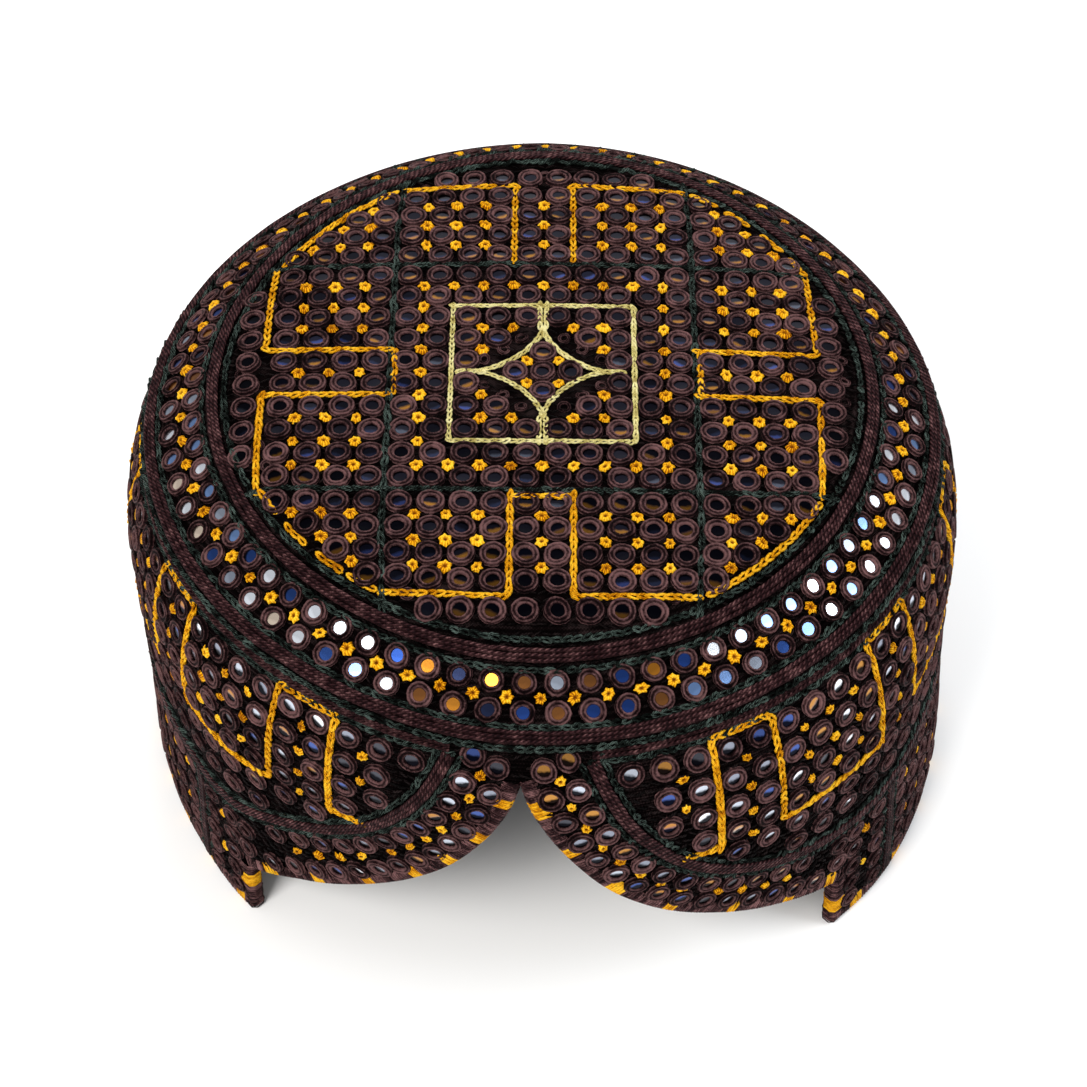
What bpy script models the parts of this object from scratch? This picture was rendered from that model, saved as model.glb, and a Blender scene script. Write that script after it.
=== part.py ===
"""A round mirror-work cap: crown, side wall with two front lobes, and laid cord bands.

Metres, +Z up. The cap stands on its hem at z = 0, and the notch in front faces -Y.
Angles on the wall start at the front and grow towards +X.
"""

import math

import bmesh
import bpy
from mathutils import Matrix, Vector

# Heights
cap_height = 0.1140
crown_drop = 0.0160
field_drop = 0.0022
front_band = 0.0061
tab_step = 0.0190
panel_height = 0.0405
hem_land = 0.0030

# Radii, and how far the wall stands out past the rim
rim_radius = 0.0886
slope_run = 0.0246
border_width = 0.0145
wall_inset = 0.0006
shoulder_flare = 0.0060
waist_flare = 0.0054
hem_flare = 0.0060

# Cloth and clearances
crown_thickness = 0.0026
wall_thickness = 0.0030
seat_gap = 0.0003
band_gap = 0.0005
seam_gap = 0.0003
band_clearance = 0.0008

# Angles on the wall, in degrees
notch_turn = -2.6
tab_angle = 43.0
panel_turn = 9.5
panel_run = 38.5
tab_cord_turn = 11.0

# Laid cord bands
cord_width = 0.0036
cord_rise = 0.0013

# Section of a cord band: share of its width, share of its rise
cord_profile = ((-0.50, 0.0), (-0.28, 1.0), (0.28, 1.0), (0.50, 0.0))

# Mirrors on the crown's slope
mirror_pitch = 0.00695
mirror_radius = 0.0026
mirror_rise = 0.0011
mirror_row_pitch = 0.0061
ribbon_thickness = 0.0007
mirror_sides = 10

# Facets
turn_steps = 72
back_columns = 44
lobe_columns = 12
arc_steps = 14
tab_cord_steps = 5
field_ring_share = 0.55
lobe_crowding = 1.6
arc_crowding = 1.25

# Slope of the crown from the field to the rim: share of the run, share of the drop
slope_profile = (
    (0.00, 0.00),
    (0.16, 0.07),
    (0.34, 0.21),
    (0.53, 0.40),
    (1.00, 1.00),
)

# Side wall from top to hem: share of the height, size above, size below, share between
wall_profile = (
    (1.00, "top", "shoulder", 0.00),
    (0.95, "top", "shoulder", 0.42),
    (0.89, "top", "shoulder", 0.70),
    (0.82, "top", "shoulder", 0.90),
    (0.73, "top", "shoulder", 1.00),
    (0.56, "shoulder", "waist", 0.25),
    (0.43, "shoulder", "waist", 0.75),
    (0.33, "shoulder", "waist", 1.00),
    (0.17, "waist", "hem", 0.55),
    (0.00, "waist", "hem", 1.00),
)

# Lower edge of a lobe: share of the way from the notch to the tab, share of the drop left
lobe_profile = (
    (0.00, 1.000),
    (0.03, 0.905),
    (0.09, 0.775),
    (0.15, 0.665),
    (0.22, 0.555),
    (0.30, 0.458),
    (0.42, 0.341),
    (0.55, 0.245),
    (0.66, 0.172),
    (0.77, 0.112),
    (0.89, 0.048),
    (1.00, 0.000),
)

# Band round the panel: share of the way down from the rim, share of the drop left
panel_profile = (
    (0.00, 1.000),
    (0.03, 0.910),
    (0.09, 0.745),
    (0.17, 0.585),
    (0.26, 0.435),
    (0.38, 0.300),
    (0.51, 0.195),
    (0.64, 0.118),
    (0.77, 0.062),
    (0.90, 0.024),
    (1.00, 0.000),
)

# Columns of the wall's levels: share of the way from its top to the lobes' edge
wall_levels = (0.0, 0.08, 0.22, 0.45, 0.66, 0.82, 1.0)

wall_radii = {
    "top": rim_radius - wall_inset,
    "shoulder": rim_radius + shoulder_flare,
    "waist": rim_radius + waist_flare,
    "hem": rim_radius + hem_flare,
}
field_radius = rim_radius - slope_run
rim_cord_radius = rim_radius - cord_width / 2
crown_cord_radius = rim_cord_radius - border_width
wall_top = cap_height - crown_drop - crown_thickness - seam_gap
wall_cord_height = wall_top - cord_width / 2 - seat_gap
notch_height = wall_top - front_band


def smooth_value(points, at):
    """Curve through points sorted by their first value, with no overshoot between rows."""
    slopes = []
    for (a, b), (c, d) in zip(points, points[1:]):
        slopes.append((d - b) / (c - a))
    tangents = [slopes[0]]
    for before, after in zip(slopes, slopes[1:]):
        if before * after <= 0:
            tangents.append(0.0)
        else:
            tangents.append(2 * before * after / (before + after))
    tangents.append(slopes[-1])
    for index in range(len(points) - 1):
        (a, b), (c, d) = points[index], points[index + 1]
        if at <= c or index == len(points) - 2:
            width = c - a
            t = min(max((at - a) / width, 0.0), 1.0)
            return (
                (2 * t ** 3 - 3 * t ** 2 + 1) * b
                + (t ** 3 - 2 * t ** 2 + t) * width * tangents[index]
                + (3 * t ** 2 - 2 * t ** 3) * d
                + (t ** 3 - t ** 2) * width * tangents[index + 1]
            )


def crown_height(radius):
    """Height of the crown's outer face at a distance from the axis."""
    if radius <= field_radius:
        return cap_height - field_drop * (radius / field_radius) ** 2
    run = (radius - field_radius) / slope_run
    return cap_height - field_drop - (crown_drop - field_drop) * smooth_value(slope_profile, run)


def crown_normal(radius):
    """Radial and upward parts of the crown's outward direction."""
    fall = crown_height(radius - seam_gap) - crown_height(radius + seam_gap)
    length = math.hypot(fall, 2 * seam_gap)
    return fall / length, 2 * seam_gap / length


def wall_radius(height):
    """Outer radius of the side wall at a height above the hem."""
    if height <= hem_land:
        return wall_radii["hem"]
    points = []
    for share, above, below, part in reversed(wall_profile):
        size = wall_radii[above] + (wall_radii[below] - wall_radii[above]) * part
        points.append((hem_land + (wall_top - hem_land) * share, size))
    return smooth_value(points, height)


def wall_normal(height):
    """Radial and upward parts of the side wall's outward direction."""
    spread = wall_radius(height - seam_gap) - wall_radius(height + seam_gap)
    length = math.hypot(2 * seam_gap, spread)
    return 2 * seam_gap / length, spread / length


def wall_point(angle, height, lift=0.0):
    """Point on the outer face of the side wall, lifted off it along its normal."""
    out, up = wall_normal(height)
    radius = wall_radius(height) + lift * out
    turn = math.radians(angle)
    return Vector((radius * math.sin(turn), -radius * math.cos(turn), height + lift * up))


def lobe_height(angle):
    """Height of the lobes' lower edge between the two tabs."""
    if angle < notch_turn:
        share = (notch_turn - angle) / (notch_turn + tab_angle)
    else:
        share = (angle - notch_turn) / (tab_angle - notch_turn)
    return tab_step + (notch_height - tab_step) * smooth_value(lobe_profile, share)


def add_material(name, color, roughness, metallic=0.0):
    material = bpy.data.materials.new(name)
    material.use_nodes = True
    shader = material.node_tree.nodes["Principled BSDF"]
    shader.inputs["Base Color"].default_value = (*color, 1.0)
    shader.inputs["Roughness"].default_value = roughness
    shader.inputs["Metallic"].default_value = metallic
    return material


def add_object(name, mesh, material, collection):
    mesh.materials.append(material)
    thing = bpy.data.objects.new(name, mesh)
    collection.objects.link(thing)
    return thing


def shade_round(mesh, sharp_degrees=40):
    mesh.shade_smooth()
    mesh.set_sharp_from_angle(angle=math.radians(sharp_degrees))


def turned(name, profile, material, collection, closed=True):
    """Turn a profile of (radius, height) pairs round the axis with a Screw modifier."""
    points = [(radius, 0.0, height) for radius, height in profile]
    edges = [(index, index + 1) for index in range(len(points) - 1)]
    if closed:
        edges.append((len(points) - 1, 0))
    mesh = bpy.data.meshes.new(name)
    mesh.from_pydata(points, edges, [])
    thing = add_object(name, mesh, material, collection)
    screw = thing.modifiers.new("turn", "SCREW")
    screw.axis = "Z"
    screw.angle = math.radians(360)
    screw.steps = turn_steps
    screw.render_steps = turn_steps
    screw.use_merge_vertices = True
    screw.merge_threshold = 0.00001
    return thing


def add_crown(material, collection):
    """Padded round, with its underside straight below its outer face."""
    slope = [field_radius + slope_run * run for run, _ in slope_profile]
    rings = (0.0, field_radius * field_ring_share, *slope)
    outer = [(radius, crown_height(radius)) for radius in rings]
    inner = [
        (radius, crown_height(radius) - crown_thickness)
        for radius in (slope[-1], slope[-2], slope[0], 0.0)
    ]
    return turned("crown", outer + inner, material, collection, closed=False)


def cord_section(base, outward, along):
    """Low rounded section of a cord band: base centre, outward direction, direction across."""
    section = []
    for across, rise in cord_profile:
        section.append(base + along * (cord_width * across) + outward * (cord_rise * rise))
    return section


def add_cord_ring(name, radius, height, normal, material, collection):
    """Cord band laid round the cap on a face with the given radial and upward normal."""
    outward = Vector(normal)
    along = Vector((outward.y, -outward.x))
    base = Vector((radius, height)) + outward * seat_gap
    profile = [tuple(point) for point in cord_section(base, outward, along)]
    return turned(name, profile, material, collection)


def add_side_wall(material, collection):
    """Open outer face built column by column, then thickened inwards."""
    angles = []
    for index in range(lobe_columns, 0, -1):
        share = (index / lobe_columns) ** lobe_crowding
        angles.append(notch_turn - share * (notch_turn + tab_angle))
    for index in range(lobe_columns):
        share = (index / lobe_columns) ** lobe_crowding
        angles.append(notch_turn + share * (tab_angle - notch_turn))
    back_run = 360 - 2 * tab_angle
    for index in range(back_columns):
        angles.append(tab_angle + back_run * index / back_columns)

    shell = bmesh.new()
    upper = []
    for column, angle in enumerate(angles):
        low = lobe_height(angle) if column < 2 * lobe_columns else tab_step
        heights = [wall_top + (low - wall_top) * share for share in wall_levels]
        upper.append([shell.verts.new(wall_point(angle, height)) for height in heights])
    lower = {}
    first_back = 2 * lobe_columns
    for column in [*range(first_back, len(angles)), 0]:
        lower[column] = [
            shell.verts.new(wall_point(angles[column], height)) for height in (hem_land, 0.0)
        ]
    count = len(angles)
    for column in range(count):
        after = (column + 1) % count
        for level in range(len(wall_levels) - 1):
            shell.faces.new((
                upper[column][level],
                upper[column][level + 1],
                upper[after][level + 1],
                upper[after][level],
            ))
        if column >= first_back:
            left = [upper[column][-1], *lower[column]]
            right = [upper[after][-1], *lower[after]]
            for level in range(2):
                shell.faces.new((left[level], left[level + 1], right[level + 1], right[level]))
    bmesh.ops.recalc_face_normals(shell, faces=shell.faces)
    mesh = bpy.data.meshes.new("side_wall")
    shell.to_mesh(mesh)
    shell.free()
    shade_round(mesh)
    thing = add_object("side_wall", mesh, material, collection)
    solid = thing.modifiers.new("cloth", "SOLIDIFY")
    solid.thickness = wall_thickness
    solid.offset = -1.0
    return thing


def add_wall_band(name, route, material, collection):
    """Cord band that follows a route of (angle, height) pairs on the side wall."""
    band = bmesh.new()
    rows = []
    last = len(route) - 1
    for index in range(len(route)):
        before = route[max(index - 1, 0)]
        after = route[min(index + 1, last)]
        radius = wall_radius(route[index][1])
        run = math.radians(after[0] - before[0]) * radius
        climb = after[1] - before[1]
        length = math.hypot(run, climb)
        across_angle = math.degrees(climb / length * cord_width / 2 / radius)
        across_height = run / length * cord_width / 2
        angle, height = route[index]
        rows.append([
            band.verts.new(wall_point(angle - across_angle, height + across_height, band_gap)),
            band.verts.new(wall_point(angle + across_angle, height - across_height, band_gap)),
        ])
    for first, second in zip(rows, rows[1:]):
        band.faces.new((first[0], first[1], second[1], second[0]))
    mesh = bpy.data.meshes.new(name)
    band.to_mesh(mesh)
    band.free()
    shade_round(mesh)
    thing = add_object(name, mesh, material, collection)
    solid = thing.modifiers.new("cord", "SOLIDIFY")
    solid.thickness = cord_rise
    solid.offset = 1.0
    return thing


def panel_route():
    """Route of the panel band, from the left of the notch round the back to its right."""
    top = wall_cord_height - cord_width / 2 - band_clearance
    arc = []
    for run, left in panel_profile:
        arc.append((run, panel_height + (top - panel_height) * left))
    fine = []
    for index in range(arc_steps + 1):
        run = (index / arc_steps) ** arc_crowding
        fine.append((panel_turn + panel_run * run, smooth_value(arc, run)))
    right = [(notch_turn + turn, height) for turn, height in fine]
    left = [(360 + notch_turn - turn, height) for turn, height in reversed(fine)]
    start, end = right[-1][0], left[0][0]
    level_steps = round((end - start) / (360 - 2 * tab_angle) * back_columns)
    level = []
    for index in range(1, level_steps):
        level.append((start + (end - start) * index / level_steps, panel_height))
    return right + level + left


def tab_cord_route(angle):
    """Short upright route from under the panel band down to the hem."""
    top = panel_height - cord_width / 2 - band_clearance
    bottom = hem_land + cord_width / 2
    route = []
    for index in range(tab_cord_steps + 1):
        route.append((angle, top + (bottom - top) * index / tab_cord_steps))
    return route


def add_mirror_border(material, collection, cutters):
    """Thin ribbon on the crown's slope with two rows of round mirrors fused to it."""
    low_radius = crown_cord_radius + cord_width / 2 + seat_gap
    high_radius = rim_cord_radius - cord_width / 2 - seat_gap
    radii = (low_radius, high_radius)

    def raised(radius, lift):
        out, up = crown_normal(radius)
        return radius + out * lift, crown_height(radius) + up * lift

    top = [raised(radius, seat_gap + ribbon_thickness) for radius in radii]
    bottom = [raised(radius, seat_gap) for radius in reversed(radii)]
    ribbon = turned("mirror_border", top + bottom, material, collection)

    middle = (low_radius + high_radius) / 2
    half_row = mirror_row_pitch / 2 * crown_normal(middle)[1]
    count = round(2 * math.pi * middle / mirror_pitch)
    discs = bmesh.new()
    sunk = ribbon_thickness / 2
    depth = sunk + mirror_rise
    for row_radius in (middle - half_row, middle + half_row):
        out, up = crown_normal(row_radius)
        centre_lift = seat_gap + ribbon_thickness - sunk + depth / 2
        radius, height = raised(row_radius, centre_lift)
        tilt = Matrix.Rotation(math.atan2(out, up), 4, "Y")
        place = Matrix.Translation((radius, 0.0, height)) @ tilt
        for index in range(count):
            turn = Matrix.Rotation(2 * math.pi * (index + 0.5) / count, 4, "Z")
            bmesh.ops.create_cone(
                discs,
                cap_ends=True,
                segments=mirror_sides,
                radius1=mirror_radius,
                radius2=mirror_radius,
                depth=depth,
                matrix=turn @ place,
            )
    disc_mesh = bpy.data.meshes.new("border_mirrors")
    discs.to_mesh(disc_mesh)
    discs.free()
    disc_thing = bpy.data.objects.new("border_mirrors", disc_mesh)
    disc_thing.hide_render = True
    disc_thing.display_type = "WIRE"
    cutters.objects.link(disc_thing)
    union = ribbon.modifiers.new("fuse mirrors", "BOOLEAN")
    union.operation = "UNION"
    union.solver = "EXACT"
    union.object = disc_thing
    return ribbon


def build():
    for thing in list(bpy.data.objects):
        bpy.data.objects.remove(thing, do_unlink=True)
    scene_root = bpy.context.scene.collection
    collection = bpy.data.collections.new("mirror_work_cap")
    scene_root.children.link(collection)
    cutters = bpy.data.collections.new("cutters")
    scene_root.children.link(cutters)

    cloth = add_material("cloth", (0.020, 0.013, 0.012), 0.85)
    cord = add_material("cord", (0.060, 0.028, 0.033), 0.70)
    mirror = add_material("mirror", (0.35, 0.36, 0.40), 0.10, 1.0)

    add_crown(cloth, collection)
    add_side_wall(cloth, collection)
    add_mirror_border(mirror, collection, cutters)
    add_cord_ring(
        "crown_cord",
        crown_cord_radius,
        crown_height(crown_cord_radius),
        crown_normal(crown_cord_radius),
        cord,
        collection,
    )
    add_cord_ring(
        "rim_cord",
        rim_cord_radius,
        crown_height(rim_cord_radius),
        crown_normal(rim_cord_radius),
        cord,
        collection,
    )
    add_cord_ring(
        "wall_cord",
        wall_radius(wall_cord_height),
        wall_cord_height,
        wall_normal(wall_cord_height),
        cord,
        collection,
    )
    add_wall_band("panel_cord", panel_route(), cord, collection)
    add_wall_band("left_tab_cord", tab_cord_route(-tab_angle - tab_cord_turn), cord, collection)
    add_wall_band("right_tab_cord", tab_cord_route(tab_angle + tab_cord_turn), cord, collection)


build()
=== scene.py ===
# Round embroidered cap with sewn mirrors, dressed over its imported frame.
# Blender 4.5, metres, +Z up. The notch in front faces -Y, and angles on the wall grow towards +X.

import math
import random

import bmesh
import bpy
from mathutils import Matrix, Vector
from mathutils.kdtree import KDTree


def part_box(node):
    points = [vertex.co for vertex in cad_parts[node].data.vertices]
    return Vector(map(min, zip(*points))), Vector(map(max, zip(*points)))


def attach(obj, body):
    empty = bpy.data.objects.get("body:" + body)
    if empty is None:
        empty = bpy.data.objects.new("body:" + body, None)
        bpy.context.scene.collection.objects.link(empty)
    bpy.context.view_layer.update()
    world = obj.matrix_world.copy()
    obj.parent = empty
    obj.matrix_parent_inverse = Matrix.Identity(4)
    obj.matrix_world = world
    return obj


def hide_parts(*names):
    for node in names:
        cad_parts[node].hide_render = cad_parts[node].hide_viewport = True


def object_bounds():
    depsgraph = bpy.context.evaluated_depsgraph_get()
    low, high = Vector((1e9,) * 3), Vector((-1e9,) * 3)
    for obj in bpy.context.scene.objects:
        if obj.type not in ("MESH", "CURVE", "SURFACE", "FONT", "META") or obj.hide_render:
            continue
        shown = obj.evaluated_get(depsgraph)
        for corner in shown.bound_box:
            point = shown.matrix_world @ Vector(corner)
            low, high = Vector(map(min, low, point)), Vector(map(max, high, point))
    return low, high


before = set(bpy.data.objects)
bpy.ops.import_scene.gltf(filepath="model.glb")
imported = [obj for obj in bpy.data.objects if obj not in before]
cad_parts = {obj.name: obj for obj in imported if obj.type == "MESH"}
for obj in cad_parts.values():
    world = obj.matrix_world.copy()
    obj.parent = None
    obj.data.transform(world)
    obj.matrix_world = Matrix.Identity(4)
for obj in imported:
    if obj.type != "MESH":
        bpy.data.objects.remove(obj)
cadLow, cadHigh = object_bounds()
print("frame loaded")

# the cap's own sizes, as the frame has them
cap = {
    "height": cadHigh.z,
    "rimRadius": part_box("crown")[1].x,
    "crownDrop": 0.0160,
    "fieldDrop": 0.0022,
    "slopeRun": 0.0246,
    "borderWidth": 0.0145,
    "crownThickness": 0.0026,
    "wallThickness": 0.0030,
    "seamGap": 0.0003,
    "wallInset": 0.0006,
    "shoulderFlare": 0.0060,
    "waistFlare": 0.0054,
    "hemFlare": 0.0060,
    "frontBand": 0.0061,
    "tabStep": 0.0190,
    "panelHeight": 0.0405,
    "hemLand": 0.0030,
    "notchTurn": -2.6,
    "tabAngle": 43.0,
    "panelTurn": 9.5,
    "panelRun": 38.5,
    "tabCordTurn": 11.0,
    "cordWidth": 0.0036,
    "sink": 0.0007,
    "lean": 0.0022,
    "panelTuck": 0.0012,
}

# share of the slope's run, share of its drop
slopeProfile = ((0.00, 0.00), (0.16, 0.07), (0.34, 0.21), (0.53, 0.40), (1.00, 1.00))

# radius in metres, share of the crown's lean towards the front there
leanProfile = ((0.000, 0.0), (0.064, 0.0), (0.077, 1.0), (0.0886, 0.2))

# angle, how far the hem stands out there, how far it is turned, in metres and degrees,
# and how early the hang begins; the photographed cap hangs a little outwards on its right
hangRows = (
    (-180, 0.0000, 0.0, 0.0),
    (-120, 0.0010, -0.2, 0.0),
    (-75, 0.0010, -1.0, 0.0),
    (-58, 0.0009, -1.6, 0.3),
    (-44, 0.0017, -2.0, 0.8),
    (-34, -0.0004, -1.4, 1.0),
    (-22, -0.0012, -0.7, 1.0),
    (-8, 0.0002, -0.1, 1.0),
    (2, 0.0028, 0.1, 1.0),
    (12, 0.0042, 0.3, 1.0),
    (43, 0.0044, 0.8, 0.8),
    (52, 0.0050, 0.8, 0.6),
    (66, 0.0044, 0.5, 0.2),
    (88, 0.0028, 0.2, 0.0),
    (120, 0.0014, 0.0, 0.0),
    (180, 0.0000, 0.0, 0.0),
)

# height in metres, share of the hang there where it begins late, and where it begins early
hangShares = (
    (0.0000, 1.00, 1.00),
    (0.0200, 0.80, 1.00),
    (0.0400, 0.36, 1.00),
    (0.0560, 0.08, 0.92),
    (0.0680, 0.00, 0.70),
    (0.0840, 0.00, 0.30),
    (0.0951, 0.00, 0.00),
)

# angle, how far the rim stands up there in metres; the photographed cap is higher on its left
riseRows = (
    (-180, 0.0), (-150, -0.0002), (-120, 0.0006), (-90, 0.0024), (-60, 0.0033),
    (-38, 0.0031), (-22, 0.0016), (-8, 0.0002), (0, 0.0), (90, 0.0),
    (105, -0.0010), (125, -0.0020), (150, -0.0012), (180, 0.0),
)

# height in metres, share of the rise there
riseShares = (
    (0.000, 0.0), (0.024, 0.0), (0.036, 0.12), (0.047, 0.50), (0.060, 0.90), (0.072, 1.0), (0.0951, 1.0),
)

# share of the wall's height, size above, size below, share between
wallProfile = (
    (1.00, "top", "shoulder", 0.00),
    (0.95, "top", "shoulder", 0.42),
    (0.89, "top", "shoulder", 0.70),
    (0.82, "top", "shoulder", 0.90),
    (0.73, "top", "shoulder", 1.00),
    (0.56, "shoulder", "waist", 0.25),
    (0.43, "shoulder", "waist", 0.75),
    (0.33, "shoulder", "waist", 1.00),
    (0.17, "waist", "hem", 0.55),
    (0.00, "waist", "hem", 1.00),
)

# share of the way from the notch to a tab, share of the drop left
lobeProfile = (
    (0.00, 1.000),
    (0.03, 0.905),
    (0.09, 0.775),
    (0.15, 0.665),
    (0.22, 0.555),
    (0.30, 0.458),
    (0.42, 0.341),
    (0.55, 0.245),
    (0.66, 0.172),
    (0.77, 0.112),
    (0.89, 0.048),
    (1.00, 0.000),
)

# share of the way from the panel's top to its level part, share of the drop left
panelProfile = (
    (0.00, 1.000),
    (0.03, 0.910),
    (0.09, 0.745),
    (0.17, 0.585),
    (0.26, 0.435),
    (0.38, 0.300),
    (0.51, 0.195),
    (0.64, 0.118),
    (0.77, 0.062),
    (0.90, 0.024),
    (1.00, 0.000),
)

fieldRadius = cap["rimRadius"] - cap["slopeRun"]
rimCordRadius = cap["rimRadius"] - cap["cordWidth"] / 2
crownCordRadius = rimCordRadius - cap["borderWidth"]
wallTop = cap["height"] - cap["crownDrop"] - cap["crownThickness"] - cap["seamGap"]
wallCordHeight = wallTop - cap["cordWidth"] / 2 - cap["seamGap"]
notchHeight = wallTop - cap["frontBand"]
wallRadii = {
    "top": cap["rimRadius"] - cap["wallInset"],
    "shoulder": cap["rimRadius"] + cap["shoulderFlare"],
    "waist": cap["rimRadius"] + cap["waistFlare"],
    "hem": cap["rimRadius"] + cap["hemFlare"],
}


def smoothCurve(points):
    # a curve through rows sorted by their first value, with no overshoot between rows
    slopes = [(d - b) / (c - a) for (a, b), (c, d) in zip(points, points[1:])]
    tangents = [slopes[0]]
    for before, after in zip(slopes, slopes[1:]):
        tangents.append(0.0 if before * after <= 0 else 2 * before * after / (before + after))
    tangents.append(slopes[-1])

    def valueAt(at):
        index = 0
        while index < len(points) - 2 and at > points[index + 1][0]:
            index += 1
        (a, b), (c, d) = points[index], points[index + 1]
        width = c - a
        t = min(max((at - a) / width, 0.0), 1.0)
        return (
            (2 * t ** 3 - 3 * t ** 2 + 1) * b
            + (t ** 3 - 2 * t ** 2 + t) * width * tangents[index]
            + (3 * t ** 2 - 2 * t ** 3) * d
            + (t ** 3 - t ** 2) * width * tangents[index + 1]
        )

    return valueAt


slopeAt = smoothCurve(slopeProfile)
leanAt = smoothCurve(leanProfile)
lobeAt = smoothCurve(lobeProfile)
panelAt = smoothCurve(panelProfile)
wallRows = []
for share, above, below, part in reversed(wallProfile):
    size = wallRadii[above] + (wallRadii[below] - wallRadii[above]) * part - cap["sink"]
    wallRows.append((cap["hemLand"] + (wallTop - cap["hemLand"]) * share, size))
wallRadius = smoothCurve(wallRows)
hangOut = smoothCurve([(angle, out) for angle, out, _, _ in hangRows])
hangTurn = smoothCurve([(angle, turned) for angle, _, turned, _ in hangRows])
hangEarly = smoothCurve([(angle, early) for angle, _, _, early in hangRows])
lateShare = smoothCurve([(height, late) for height, late, _ in hangShares])
earlyShare = smoothCurve([(height, early) for height, _, early in hangShares])
riseAt = smoothCurve(riseRows)
riseShare = smoothCurve(riseShares)


def crownHeight(radius, x=0.0, y=0.0):
    # x and y give the way from the centre: the worn-in slope stands a little higher behind
    # and the whole rim higher on the left
    rise = riseAt(math.degrees(math.atan2(x, -y)))
    top = cap["height"] - cap["sink"] + rise * (radius / cap["rimRadius"]) ** 2
    if radius <= fieldRadius:
        return top - cap["fieldDrop"] * (radius / fieldRadius) ** 2
    fall = (cap["crownDrop"] - cap["fieldDrop"]) * slopeAt((radius - fieldRadius) / cap["slopeRun"])
    facing = y / math.hypot(x, y)
    return top - cap["fieldDrop"] - fall + cap["lean"] * facing * leanAt(radius)


def onCrown(x, y, lift=0.0):
    # point on the crown and the direction out of the cloth there
    radius = math.hypot(x, y)
    step = cap["seamGap"]
    if radius <= step:
        return Vector((x, y, crownHeight(0.0) + lift)), Vector((0, 0, 1))
    fall = (crownHeight(radius - step, x, y) - crownHeight(radius + step, x, y)) / (2 * step)
    up = Vector((x / radius * fall, y / radius * fall, 1.0)).normalized()
    return Vector((x, y, crownHeight(radius, x, y))) + up * lift, up


def hangShare(angle, height):
    early = hangEarly(angle)
    return lateShare(height) * (1 - early) + earlyShare(height) * early


def onWall(angle, height, lift=0.0):
    # point on the side wall's outer face and the direction out of the cloth there
    step = cap["seamGap"]
    angle = (angle + 180) % 360 - 180
    out = hangOut(angle)
    spread = (wallRadius(height - step) - wallRadius(height + step)) / (2 * step)
    spread += out * (hangShare(angle, height - step) - hangShare(angle, height + step)) / (2 * step)
    share = hangShare(angle, height)
    turn = math.radians(angle + hangTurn(angle) * share)
    up = Vector((math.sin(turn), -math.cos(turn), spread)).normalized()
    radius = wallRadius(height) + out * share
    height += riseAt(angle) * riseShare(height)
    return Vector((radius * math.sin(turn), -radius * math.cos(turn), height)) + up * lift, up


def onCrownRing(radius, angle, lift=0.0):
    turn = math.radians(angle)
    return onCrown(radius * math.sin(turn), -radius * math.cos(turn), lift)


# way down the wall from its top, measured along the cloth
wallWay = [(0.0, wallTop)]
wayStep = 0.0005
while wallWay[-1][1] > wayStep:
    height = wallWay[-1][1] - wayStep
    run = math.hypot(wayStep, wallRadius(height) - wallRadius(height + wayStep))
    wallWay.append((wallWay[-1][0] + run, height))


def heightDown(way):
    for (a, b), (c, d) in zip(wallWay, wallWay[1:]):
        if way <= c:
            return b + (d - b) * (way - a) / (c - a)
    return 0.0


def lobeHeight(angle):
    # lower edge of the lobes between the tabs
    if angle < cap["notchTurn"]:
        share = (cap["notchTurn"] - angle) / (cap["notchTurn"] + cap["tabAngle"])
    else:
        share = (angle - cap["notchTurn"]) / (cap["tabAngle"] - cap["notchTurn"])
    return cap["tabStep"] + (notchHeight - cap["tabStep"]) * lobeAt(share)


panelTop = wallCordHeight - cap["cordWidth"] / 2 + cap["panelTuck"]


def panelHeightAt(turn):
    # height of the panel band's middle, by the angle away from the notch on either side
    turn = abs((turn + 180) % 360 - 180)
    if turn >= cap["panelTurn"] + cap["panelRun"]:
        return cap["panelHeight"]
    share = max(turn - cap["panelTurn"], 0.0) / cap["panelRun"]
    return cap["panelHeight"] + (panelTop - cap["panelHeight"]) * panelAt(share)


# Shader helpers

def addNode(tree, kind, **settings):
    node = tree.nodes.new(kind)
    for name, value in settings.items():
        setattr(node, name, value)
    return node


def startMaterial(name, roughness, metallic=0.0, specular=0.5):
    material = bpy.data.materials.new(name)
    material.use_nodes = True
    shader = material.node_tree.nodes["Principled BSDF"]
    shader.inputs["Roughness"].default_value = roughness
    shader.inputs["Metallic"].default_value = metallic
    shader.inputs["Specular IOR Level"].default_value = specular
    return material, material.node_tree, shader


def noiseAt(tree, scale, detail=3.0, roughness=0.6):
    place = addNode(tree, "ShaderNodeTexCoord")
    noise = addNode(tree, "ShaderNodeTexNoise")
    noise.inputs["Scale"].default_value = scale
    noise.inputs["Detail"].default_value = detail
    noise.inputs["Roughness"].default_value = roughness
    tree.links.new(place.outputs["Object"], noise.inputs["Vector"])
    return noise.outputs["Fac"]


def mathOf(tree, operation, first, second=None, third=None):
    node = addNode(tree, "ShaderNodeMath", operation=operation)
    for socket, value in zip(node.inputs, (first, second, third)):
        if value is None:
            continue
        if isinstance(value, (int, float)):
            socket.default_value = value
        else:
            tree.links.new(value, socket)
    return node.outputs[0]


def rampOf(tree, factor, stops, interpolation="LINEAR"):
    ramp = addNode(tree, "ShaderNodeValToRGB")
    ramp.color_ramp.interpolation = interpolation
    elements = ramp.color_ramp.elements
    while len(elements) < len(stops):
        elements.new(1.0)
    for element, (at, color) in zip(elements, stops):
        element.position = at
        element.color = (*color, 1.0)
    tree.links.new(factor, ramp.inputs["Fac"])
    return ramp.outputs["Color"]


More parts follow.
